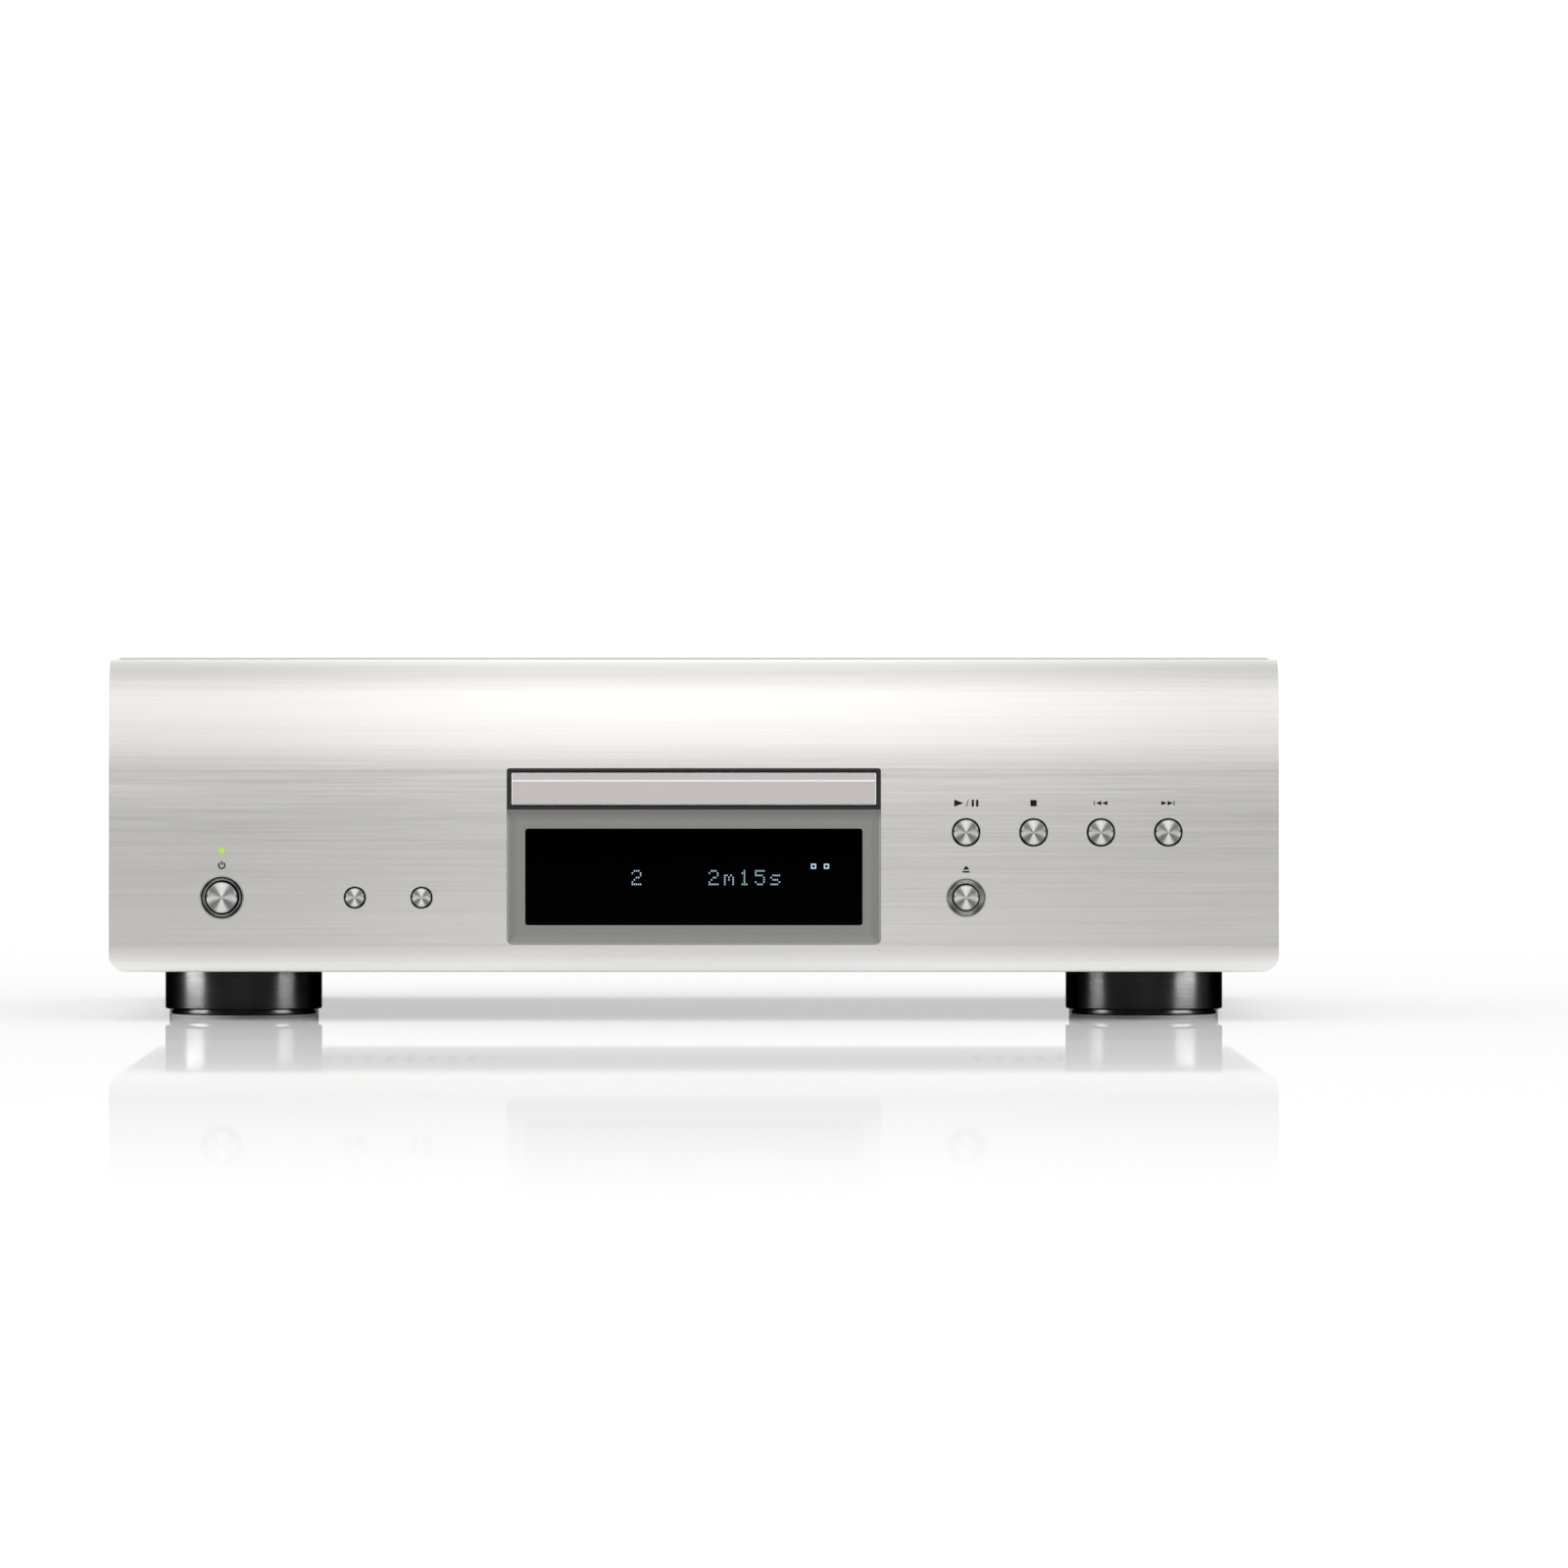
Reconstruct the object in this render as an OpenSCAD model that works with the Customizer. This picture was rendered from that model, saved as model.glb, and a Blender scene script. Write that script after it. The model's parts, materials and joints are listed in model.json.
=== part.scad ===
// Hi-fi CD player: a 434 mm wide cabinet with a thick front panel, a central disc tray above a
// display, eight front buttons, four round feet and a belt-driven disc loader inside.
// Frame: x to the right seen from the front, y towards the back, z up. The origin is the centre of
// the footprint at shelf level. Millimetres.

/* [Cabinet] */
// Width of the front panel
panel_w = 434; // [430:1:440]
// Height of the front panel
panel_h = 116; // [115:0.5:118]
// Height of the front panel's lower edge above the shelf
panel_lift = 18.5; // [18:0.5:20]
// Thickness of the front panel's face
panel_wall = 7; // [6.5:0.5:7]
// Depth of the front panel from its face to its back edge
panel_d = 20; // [20:0.5:21]
// Overall depth, from the button caps to the ends of the phono sockets
overall_d = 329; // [326:1:340]
// Thickness of the cabinet's sheet steel
sheet = 1.2; // [1:0.1:1.2]

/* [Front openings] */
// Width of the opening that holds the tray surround and the display frame
opening_w = 138.8; // [138:0.2:139]
// Height of the lower edge of the display frame above the shelf
display_z0 = 28.7; // [28:0.1:29]
// Height of the seam between the display frame and the tray surround
seam_z = 78.8; // [78.6:0.1:78.9]
// Height of the upper edge of the tray surround
opening_z1 = 94.1; // [94:0.1:94.3]
// Width and height of the display window
window_size = [125.2, 35.9];
// Width and height of the tray door
door_size = [135.2, 12];

/* [Buttons] */
// Pitch of the button grid
button_pitch = 25; // [24:0.5:26]
// Height of the lower row of buttons above the shelf
row_low_z = 46.1; // [46:0.1:48]
// Height of the upper row of buttons above the shelf
row_high_z = 70.3; // [70:0.1:72]
// How far the button caps stand out of the panel
cap_proud = 1.5; // [1:0.1:2]
// Diameter of the transport button caps
cap_d = 9.2; // [9:0.1:9.4]
// Diameter of the two small button caps
small_cap_d = 6.9; // [6.8:0.1:7]
// Diameter of the power button cap
power_cap_d = 11.4; // [11.2:0.1:11.6]

/* [Feet] */
// Diameter of each foot
foot_d = 59; // [56:1:60]
// Distance of the front feet from the centre line
foot_x = 169.5; // [165:0.5:172]
// Distance of the rear feet from the centre line
rear_foot_x = 178; // [172:0.5:180]
// Distance of the front feet behind the panel face
foot_setback = 62; // [55:1:65]

/* [Disc loader] */
// How far the tray slides out
tray_travel = 138; // [134:1:138]
// Distance of the spindle behind the panel face
spindle_setback = 71; // [70:0.5:71]
// Diameter of the recess for a full-size disc
disc_recess_d = 121; // [120.6:0.1:121]
// How far the pickup slides
pickup_travel = 34; // [30:1:34]
// Sideways travel of the cam slider
cam_travel = 24; // [22:1:24]

/* [Hidden] */
$fn = 64;
eps = 0.01;
face_y = -overall_d / 2 + cap_proud;
wall_y = face_y + panel_wall;
back_y = face_y + panel_d;
jack_proud = 12;
jack_depth = 14.4;
rear_y = overall_d / 2 - jack_proud;
panel_top = panel_lift + panel_h;
cabinet_top = panel_top + 0.5;
cover_half = panel_w / 2 - 1.5;
floor_z = 20;
deck_z = floor_z + sheet;
feet = [[-foot_x, face_y + foot_setback], [foot_x, face_y + foot_setback], [-rear_foot_x, 106],
    [rear_foot_x, 106]];
screw_seat = 12;
side_screws = [-95, 95];
side_screw_z = 34;
top_screws = [-200, -100, 0, 100, 200];
top_screw_z = 127;
spindle_y = face_y + spindle_setback;

// Front panel profile
lower_r = 1.5;
lower_bend_z = 10;
lower_bend_r = 28;
bend_z = 75;
bend_r = 208;
crown_r = 14;
corner_r = 6.3;
bend_angle = asin((panel_h - bend_z - crown_r) / (bend_r - crown_r));
crown_y = bend_r - (bend_r - crown_r) * cos(bend_angle);
crown_z = panel_h - crown_r;

// Buttons: [x, z, cap diameter, collar diameter, ring diameter or 0]
collar_d = cap_d + 1.3;
power_at = [-175.1, row_low_z, power_cap_d, 13, 16];
layer_at = [-5.03 * button_pitch, row_low_z, small_cap_d, small_cap_d + 1.2, 0];
direct_at = [-4.04 * button_pitch, row_low_z, small_cap_d, small_cap_d + 1.2, 0];
play_at = [4.04 * button_pitch, row_high_z, cap_d, collar_d, 0];
stop_at = [5.04 * button_pitch, row_high_z, cap_d, collar_d, 0];
previous_at = [6.04 * button_pitch, row_high_z, cap_d, collar_d, 0];
next_at = [7.04 * button_pitch, row_high_z, cap_d, collar_d, 0];
eject_at = [4.04 * button_pitch, row_low_z, cap_d, collar_d, 14.4];
BUTTONS = [power_at, layer_at, direct_at, play_at, stop_at, previous_at, next_at, eject_at];
lamp_at = [power_at[0], row_low_z + 17.4];
lamp_d = 2.3;
button_travel = 1;
board_y = wall_y + 8.3;
board_t = 1.6;
switch_y = board_y - 3.7;

// Tray
tray_half = 64.5;
tray_bottom = 81;
plate_z0 = 83;
plate_z1 = 87.5;
recess_z = 85.5;
slot_half = 22;
plate_back = spindle_y + 68;
arm_back = spindle_y + 132;
door_z0 = (seam_z + opening_z1) / 2 - door_size[1] / 2;
door_d = 4.5;

// Tray drive
gear_m = 1;
drive_teeth = 24;
reduce_m = 0.8;
reduce_teeth = 32;
pinion_teeth = 12;
drive_at = [41, face_y + 32];
rack_x = drive_at[0] + gear_m * drive_teeth / 2;
pulley_at = [drive_at[0] - reduce_m * (reduce_teeth + pinion_teeth) / 2, drive_at[1]];
pulley_r = 10;
motor_pulley_r = 3;
loading_motor_at = [-26, drive_at[1]];
loader_front = board_y + 2.7;
loader_back = 75;

// Traverse unit
pivot = [5, 74];
tilt_angle = 5;
cam_y = spindle_y - 25;
cam_t = 3;
cam_drop = (pivot[0] - cam_y) * sin(tilt_angle);
shelf_y = cam_y - 2;
traverse_half = 48;
lug_x = [traverse_half + 2.4, 54, 62, 66];
deck_z0 = 74;
deck_z1 = 77;
disc_z = 88.5;
rod_x = 24;
rod_z = 72.6;
sled_m = 0.6;
sled_teeth = 20;
wheel_m = 0.5;
wheel_teeth = 30;
sled_pinion_teeth = 12;
lens_z = 83.6;
sled_at = [36, spindle_y + 32];
sled_rack_x = sled_at[0] - sled_m * sled_teeth / 2;
sled_motor_y = sled_at[1] + wheel_m * (wheel_teeth + sled_pinion_teeth) / 2;

// Rear sockets: [x, z]
socket_z = 92;
phono_at = [[58, socket_z], [82, socket_z], [6, socket_z]];
optical_at = [-20, socket_z];
remote_at = [[-56, socket_z], [-74, socket_z]];
inlet_at = [-168, 78];
inlet_screw_x = 20;

// ---------- helpers ----------

// Extrudes a (depth, height) outline across the width.
module across(width) {
    translate([-width / 2, 0, 0]) rotate([90, 0, 90]) linear_extrude(width) children();
}

// Extrudes an (x, z) outline from y0 back to y1.
module deep(y0, y1) {
    translate([0, y1, 0]) rotate([90, 0, 0]) linear_extrude(y1 - y0) children();
}

// A round bar along y, at x and z, from y0 to y1.
module bar_y(x, z, y0, y1, d) {
    translate([x, y1, z]) rotate([90, 0, 0]) cylinder(d = d, h = y1 - y0);
}

// A round bar along x.
module bar_x(x0, x1, y, z, d) {
    translate([x0, y, z]) rotate([0, 90, 0]) cylinder(d = d, h = x1 - x0);
}

// A round bar along z, at [x, y].
module bar_z(at, z0, z1, d) {
    translate([at[0], at[1], z0]) cylinder(d = d, h = z1 - z0);
}

// A box given by its two corners.
module block(low, high) {
    translate(low) cube(high - low);
}

// A rectangle with round corners, centred.
module rounded(w, h, r) {
    square([w - 2 * r, h], center = true);
    square([w, h - 2 * r], center = true);
    for (x = [-1, 1], z = [-1, 1])
        translate([x * (w / 2 - r), z * (h / 2 - r)]) circle(r);
}

// A flat ring of one thickness.
module ring(outer, inner, h) {
    difference() {
        cylinder(d = outer, h = h);
        translate([0, 0, -1]) cylinder(d = inner, h = h + 2);
    }
}

// Involute spur gear outline; backlash is the angle taken off each flank.
function inv(a) = tan(a) * 180 / PI - a;
function flank(m, n, r, backlash) = let (base = m * n / 2 * cos(20))
    90 / n - backlash + inv(20) - (r > base ? inv(acos(base / r)) : 0);
function tooth(m, n, radii, backlash, i) = concat(
    [for (r = radii) let (a = i * 360 / n - flank(m, n, r, backlash)) [r * cos(a), r * sin(a)]],
    [for (k = [len(radii) - 1:-1:0]) let (r = radii[k], a = i * 360 / n + flank(m, n, r, backlash))
        [r * cos(a), r * sin(a)]]
);
module gear(m, n, backlash) {
    rp = m * n / 2;
    radii = [rp - 1.2 * m, rp - 0.4 * m, rp + 0.3 * m, rp + 0.85 * m];
    polygon([for (i = [0:n - 1]) each tooth(m, n, radii, backlash, i)]);
}

// Rack outline along y with its pitch line on x = 0 and teeth pointing to -x. A gap is centred on y = 0.
module rack(m, first, last, back) {
    pitch = PI * m;
    play = 0.06 * m + 0.03;
    tip = pitch / 4 - play - 0.85 * m * tan(20);
    root = pitch / 4 - play + 1.1 * m * tan(20);
    translate([1.1 * m - eps, first * pitch]) square([back, (last - first + 1) * pitch]);
    for (k = [first:last])
        translate([0, (k + 0.5) * pitch])
            polygon([[1.1 * m, -root], [-0.85 * m, -tip], [-0.85 * m, tip], [1.1 * m, root]]);
}

// Pan-head screw along z with its head's underside at 0 and its shank below.
module screw(head_d, head_h, shank_d, length) {
    difference() {
        union() {
            cylinder(d = head_d, h = head_h);
            translate([0, 0, -length]) cylinder(d = shank_d, h = length + eps);
        }
        for (a = [0, 90])
            rotate(a) translate([-head_d * 0.3, -0.35, head_h * 0.45]) cube([head_d * 0.6, 0.7, head_h]);
    }
}

// ---------- front panel and its inserts ----------

module panel_profile() {
    lower_y = lower_bend_r - sqrt(pow(lower_bend_r - lower_r, 2) - pow(lower_bend_z - lower_r, 2));
    hull() {
        translate([lower_y, lower_r]) circle(lower_r);
        intersection() {
            translate([0, lower_r]) square([panel_d, lower_bend_z - lower_r]);
            translate([lower_bend_r, lower_bend_z]) circle(lower_bend_r, $fn = 256);
        }
        translate([panel_d - 1, 0]) square([1, lower_bend_z]);
    }
    translate([0, lower_bend_z - eps]) square([panel_d, bend_z - lower_bend_z + 2 * eps]);
    intersection() {
        translate([0, bend_z]) square([panel_d, bend_r * sin(bend_angle)]);
        translate([bend_r, bend_z]) circle(bend_r, $fn = 256);
    }
    intersection() {
        translate([crown_y, crown_z]) circle(crown_r);
        translate([0, bend_z]) square([panel_d, panel_h]);
    }
    translate([crown_y, bend_z]) square([panel_d - crown_y, panel_h - bend_z]);
}

module panel_pocket() {
    translate([panel_wall, 5]) square([panel_d, crown_z - 5]);
    translate([crown_y, crown_z]) circle(crown_r - 5.5);
    translate([crown_y, crown_z - 5]) square([panel_d, crown_r - 0.5]);
}

module panel_outline() {
    half = panel_w / 2;
    translate([-half, corner_r]) square([panel_w, panel_h]);
    translate([-half + corner_r, 0]) square([panel_w - 2 * corner_r, panel_h]);
    for (s = [-1, 1]) translate([s * (half - corner_r), corner_r]) circle(corner_r);
}

// Opening for the tray surround and display frame: round lower corners, tight upper corners.
module opening_outline(play) {
    w = opening_w - 2 * play;
    z0 = display_z0 + play;
    z1 = opening_z1 - play;
    translate([0, (z0 + seam_z) / 2]) rounded(w, seam_z - z0, 2.2);
    translate([-w / 2, z0 + 4]) square([w, seam_z - z0 - 4]);
    translate([0, (z1 + seam_z) / 2 - 2]) rounded(w, z1 - seam_z + 4, 1);
}

module front_panel() {
    color("#c9c8c4") difference() {
        intersection() {
            translate([0, face_y, panel_lift]) across(panel_w) panel_profile();
            translate([0, 0, panel_lift]) deep(face_y - 1, back_y + 1) panel_outline();
        }
        translate([0, face_y, panel_lift]) across(panel_w - 7) panel_pocket();
        deep(face_y - 1, wall_y + 1) opening_outline(0);
        for (b = BUTTONS) {
            mouth = b[4] > 0 ? b[4] + 0.1 : b[3];
            bar_y(b[0], b[1], face_y - 1, wall_y + 1, b[3]);
            if (b[4] > 0) bar_y(b[0], b[1], face_y - 1, face_y + 2.4, mouth);
            translate([b[0], face_y - eps, b[1]]) rotate([-90, 0, 0])
                cylinder(d1 = mouth + 0.4, d2 = mouth, h = 0.2);
        }
        bar_y(lamp_at[0], lamp_at[1], face_y - 1, wall_y + 1, lamp_d);
    }
}

module tray_surround() {
    z = (seam_z + opening_z1) / 2;
    h = opening_z1 - seam_z;
    color("#0b0b0b") difference() {
        union() {
            intersection() {
                deep(face_y + 0.3, wall_y + 0.1) opening_outline(0.1);
                block([-opening_w, face_y, seam_z + 0.05], [opening_w, wall_y + 5, opening_z1]);
            }
            translate([0, 0, z]) deep(wall_y + 0.1, wall_y + 1.6) rounded(opening_w + 5, h + 3, 1);
        }
        translate([0, 0, z]) deep(face_y - 1, wall_y + 3)
            rounded(door_size[0] + 0.8, door_size[1] + 0.8, 0.5);
        block([-opening_w, wall_y - 1, seam_z - 3], [opening_w, wall_y + 3, seam_z + 0.05]);
    }
}

module display_frame() {
    z = (display_z0 + seam_z) / 2;
    h = seam_z - display_z0;
    dish_y = face_y + 1.2;
    color("#8f8e8a") difference() {
        intersection() {
            deep(face_y + 0.15, face_y + 5) opening_outline(0.1);
            block([-opening_w, face_y, display_z0], [opening_w, wall_y + 5, seam_z - 0.05]);
        }
        hull() {
            translate([0, 0, z]) deep(face_y - 0.1, face_y + 0.1)
                square([opening_w - 1, h - 1], center = true);
            translate([0, 0, z]) deep(dish_y - 0.1, dish_y)
                square([opening_w - 7, h - 7], center = true);
        }
        translate([0, 0, z]) deep(face_y, face_y + 6) rounded(window_size[0], window_size[1], 1);
    }
}

module display_window() {
    z = (display_z0 + seam_z) / 2;
    color("#050505") translate([0, 0, z]) deep(face_y + 1.4, face_y + 3.4)
        rounded(window_size[0] - 0.2, window_size[1] - 0.2, 0.9);
}

module button_rings() {
    color("#8c8a86") for (b = BUTTONS) if (b[4] > 0) {
        outer = b[4] / 2;
        inner = b[3] / 2 + 0.1;
        translate([b[0], face_y, b[1]]) rotate([-90, 0, 0]) rotate_extrude()
            polygon([[outer, 0.05], [outer, 2.3], [inner, 2.3], [inner, 1.5],
                [inner + (outer - inner) * 0.5, 1.15], [outer - 0.25, 0.4], [outer - 0.2, 0.05]]);
    }
}

module power_lamp() {
    color("#b6f000") {
        bar_y(lamp_at[0], lamp_at[1], face_y + 0.15, wall_y + 0.4, lamp_d - 0.1);
        bar_y(lamp_at[0], lamp_at[1], wall_y + 0.3, wall_y + 3.5, 4);
    }
}

module button_collars() {
    color("#101010") for (b = BUTTONS)
        difference() {
            union() {
                bar_y(b[0], b[1], face_y + (b[4] > 0 ? 1.6 : 0.3), wall_y + 0.1, b[3] - 0.1);
                bar_y(b[0], b[1], wall_y + 0.05, wall_y + 0.8, b[3] + 2.4);
            }
            bar_y(b[0], b[1], face_y - 1, wall_y + 2, b[2] + 0.3);
        }
}

// One button: a turned cap, a retaining flange and a stem that reaches for its switch.
module button(at) {
    edge = at[2] > 8 ? 0.5 : 0.4;
    flange_y = wall_y + 0.9;
    color("#c4c2be") {
        translate([at[0], face_y - cap_proud, at[1]]) rotate([-90, 0, 0]) rotate_extrude()
            polygon([[0, 0], [at[2] / 2 - edge, 0], [at[2] / 2, edge],
                [at[2] / 2, panel_wall + cap_proud + 0.9], [0, panel_wall + cap_proud + 0.9]]);
        bar_y(at[0], at[1], flange_y - eps, flange_y + 1, at[3] + 1.2);
        bar_y(at[0], at[1], flange_y + 1 - eps, switch_y - button_travel - 0.3, 4.5);
    }
}

module power_button() { button(power_at); }
module layer_button() { button(layer_at); }
module direct_button() { button(direct_at); }
module play_button() { button(play_at); }
module stop_button() { button(stop_at); }
module previous_button() { button(previous_at); }
module next_button() { button(next_at); }
module eject_button() { button(eject_at); }

module tact_switches() {
    color("#2a2a2a") for (b = BUTTONS) {
        block([b[0] - 3, board_y - 2.7, b[1] - 3], [b[0] + 3, board_y, b[1] + 3]);
        bar_y(b[0], b[1], switch_y, board_y - 2.6, 3.4);
    }
}

module front_boards() {
    color("#1f5a36") {
        block([-198, board_y, 36], [-90, board_y + board_t, 70]);
        block([90, board_y, 36], [198, board_y + board_t, 82]);
        difference() {
            block([-70, board_y, 31], [70, board_y + board_t, 77]);
            for (x = [-64, 64], z = [35, 73]) bar_y(x, z, board_y - 1, board_y + 3, 3.2);
        }
    }
}

module display_tube() {
    z = (display_z0 + seam_z) / 2;
    color("#161a1c") {
        block([-61, face_y + 4, z - 16.5], [61, face_y + 5.4, z + 16.5]);
        block([-60, face_y + 5.4 - eps, z - 15], [60, face_y + 9, z + 15]);
        for (i = [0:30])
            block([-56.2 + i * 3.75, face_y + 7, z - 18], [-55.8 + i * 3.75, board_y, z - 15 + eps]);
    }
}

// ---------- cabinet ----------

module top_cover() {
    inner = cover_half - sheet;
    z0 = deck_z;
    mid = (cabinet_top + z0) / 2;
    color("#b9b8b5") difference() {
        deep(back_y, rear_y + 0.5) difference() {
            union() {
                translate([0, mid]) rounded(2 * cover_half, cabinet_top - z0, 2.5);
                translate([-cover_half, z0]) square([2 * cover_half, 10]);
            }
            translate([-inner, z0 - 1]) square([2 * inner, cabinet_top - sheet - z0 + 1]);
        }
        for (y = side_screws) bar_x(-cover_half - 1, cover_half + 1, y, side_screw_z, 3.4);
    }
}

module bottom_chassis() {
    w = cover_half - sheet - 0.3;
    color("#8d9092") difference() {
        union() {
            block([-w, back_y, floor_z], [w, rear_y - sheet, deck_z]);
            for (s = [-1, 1])
                block([s > 0 ? w - sheet : -w, back_y, floor_z],
                    [s > 0 ? w : -w + sheet, rear_y - sheet, 42]);
            block([-w, back_y, floor_z], [w, back_y + sheet, 34]);
            block([-w, rear_y - 2 * sheet, floor_z], [w, rear_y - sheet, 30]);
        }
        for (at = feet) bar_z(at, floor_z - 1, deck_z + 1, 4.2);
        for (s = [-1, 1], y = side_screws) bar_x(s * w - 3, s * w + 3, y, side_screw_z, 2.8);
        for (i = [0:9], x = [-150, 110])
            translate([x + i * 8, 20, floor_z - 1]) linear_extrude(4) rounded(3, 46, 1.4);
    }
}

module front_subframe() {
    w = cover_half - 2 * sheet - 0.6;
    y0 = back_y + sheet + 0.05;
    color("#9a9d9f") difference() {
        union() {
            block([-w, y0, deck_z + 0.05], [w, y0 + sheet, 131.5]);
            block([-w, y0, 131.5 - eps], [w, y0 + 12, 132.7]);
        }
        block([-84, y0 - 1, 42], [84, y0 + 3, 112]);
        block([96, y0 - 1, 36], [128, y0 + 3, 54]);
        for (x = [-150, 150]) translate([x, 0, 88]) deep(y0 - 1, y0 + 3) rounded(90, 40, 6);
    }
}

module rear_panel() {
    w = cover_half - sheet - 0.2;
    top = cabinet_top - sheet - 0.1;
    color("#5d5f60") difference() {
        union() {
            block([-w, rear_y - sheet + 0.02, deck_z], [w, rear_y, top]);
            block([-w, rear_y - 12, top - sheet], [w, rear_y, top]);
        }
        for (p = phono_at) bar_y(p[0], p[1], rear_y - 3, rear_y + 1, 9);
        for (p = remote_at) bar_y(p[0], p[1], rear_y - 3, rear_y + 1, 8.2);
        translate([optical_at[0], 0, optical_at[1]]) deep(rear_y - 3, rear_y + 1) rounded(12.4, 12.4, 0.5);
        translate([inlet_at[0], 0, inlet_at[1]]) deep(rear_y - 3, rear_y + 1) rounded(28.4, 20.6, 2);
        for (s = [-1, 1]) bar_y(inlet_at[0] + s * inlet_screw_x, inlet_at[1], rear_y - 3, rear_y + 1, 3);
        for (x = top_screws) bar_y(x, top_screw_z, rear_y - 3, rear_y + 1, 3);
        for (i = [0:11], x = [120, 66])
            translate([x + i * 3.6, 0, 50]) deep(rear_y - 3, rear_y + 1) rounded(1.8, 22, 0.8);
    }
}

// ---------- feet and fasteners ----------

module foot(at) {
    r = foot_d / 2;
    color("#1b1b1b") translate([at[0], at[1], 0]) difference() {
        rotate_extrude() polygon([[0, 1.2], [r - 2.2, 1.2], [r - 1.8, 1.6], [r - 1.8, 3.2], [r - 0.5, 3.2],
            [r, 3.8], [r, floor_z], [0, floor_z]]);
        translate([0, 0, -1]) cylinder(d = 4.2, h = 30);
        cylinder(d = 12, h = screw_seat);
    }
}

module foot_front_left() { foot(feet[0]); }
module foot_front_right() { foot(feet[1]); }
module foot_rear_left() { foot(feet[2]); }
module foot_rear_right() { foot(feet[3]); }

module foot_pads() {
    color("#2e2e2e") for (at = feet) translate([at[0], at[1], 0]) ring(foot_d - 5, 14, 1.2);
}

module cover_screws() {
    color("#1c1c1c") {
        for (s = [-1, 1], y = side_screws)
            translate([s * cover_half, y, side_screw_z]) rotate([0, s * 90, 0]) screw(6.4, 1.4, 2.6, 7);
        for (x = top_screws)
            translate([x, rear_y, top_screw_z]) rotate([-90, 0, 0]) screw(5.6, 1.8, 2.6, 6);
        for (s = [-1, 1])
            translate([inlet_at[0] + s * inlet_screw_x, rear_y + 2, inlet_at[1]]) rotate([-90, 0, 0])
                screw(4.8, 1.5, 2.6, 7);
    }
}

module chassis_screws() {
    color("#b7b9ba") for (at = feet)
        translate([at[0], at[1], screw_seat]) rotate([180, 0, 0]) screw(8, 2.2, 3.8, deck_z - screw_seat);
}

// ---------- disc loader ----------

module loader_frame() {
    y0 = loader_front;
    y1 = loader_back;
    color("#1d1e20") {
        for (s = [-1, 1]) {
            difference() {
                block([s > 0 ? 66 : -70, y0, 58], [s > 0 ? 70 : -66, y1, 95]);
                bar_x(s > 0 ? 65 : -71, s > 0 ? 71 : -65, spindle_y, 78, 6);
            }
            for (y = [y0 + 3, -55, 15, 45]) {
                block([s > 0 ? 62.8 : -66 - eps, y, 79.3], [s > 0 ? 66 + eps : -62.8, y + 18, 80.7]);
                block([s > 0 ? 62.8 : -66 - eps, y, 90.4], [s > 0 ? 66 + eps : -62.8, y + 18, 92]);
            }
            for (y = [-100, 40])
                block([s > 0 ? 70 - eps : -82, y, 58], [s > 0 ? 82 : -70 + eps, y + 18, 61]);
            difference() {
                block([s > 0 ? lug_x[0] : -66 - eps, pivot[0] - 6, 58],
                    [s > 0 ? 66 + eps : -lug_x[0], pivot[0] + 6, 79]);
                bar_x(s > 0 ? 46 : -70, s > 0 ? 67 : -46, pivot[0], pivot[1], 4.15);
                block([s > 0 ? lug_x[1] : -lug_x[2], pivot[0] - 7, 61],
                    [s > 0 ? lug_x[2] : -lug_x[1], pivot[0] + 7, 80]);
            }
        }
        difference() {
            block([-66 - eps, y0, 58], [66 + eps, shelf_y, 61]);
            bar_z(loading_motor_at, 50, 70, 21.4);
        }
        block([-40, shelf_y - 1.4, 55], [36, shelf_y, 61]);
        block([-40, shelf_y - 1.4, 55], [36, shelf_y + 5.8, 57.2]);
        block([-40, shelf_y + 4, 57.2 - eps], [36, shelf_y + 5.8, 60]);
        block([-66 - eps, 60, 58], [66 + eps, y1, 61]);
        bar_z(drive_at, 61 - eps, 82, 3.9);
        bar_z(drive_at, 61 - eps, 73, 8);
        bar_z(pulley_at, 61 - eps, 80, 2.9);
    }
}

module loader_bracket() {
    color("#a3a6a8") for (s = [-1, 1]) difference() {
        union() {
            block([s > 0 ? 72 : -73.5, -104, deck_z], [s > 0 ? 73.5 : -72, 62, 58]);
            block([s > 0 ? 72 : -84, -104, 56.8], [s > 0 ? 84 : -72, 62, 58]);
            block([s > 0 ? 72 : -84, -104, deck_z], [s > 0 ? 84 : -72, 62, deck_z + 1.2]);
        }
        for (y = [-70, -20, 30])
            translate([s > 0 ? 71 : -75, y, 40]) rotate([0, 90, 0]) cylinder(d = 20, h = 5);
    }
}

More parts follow.
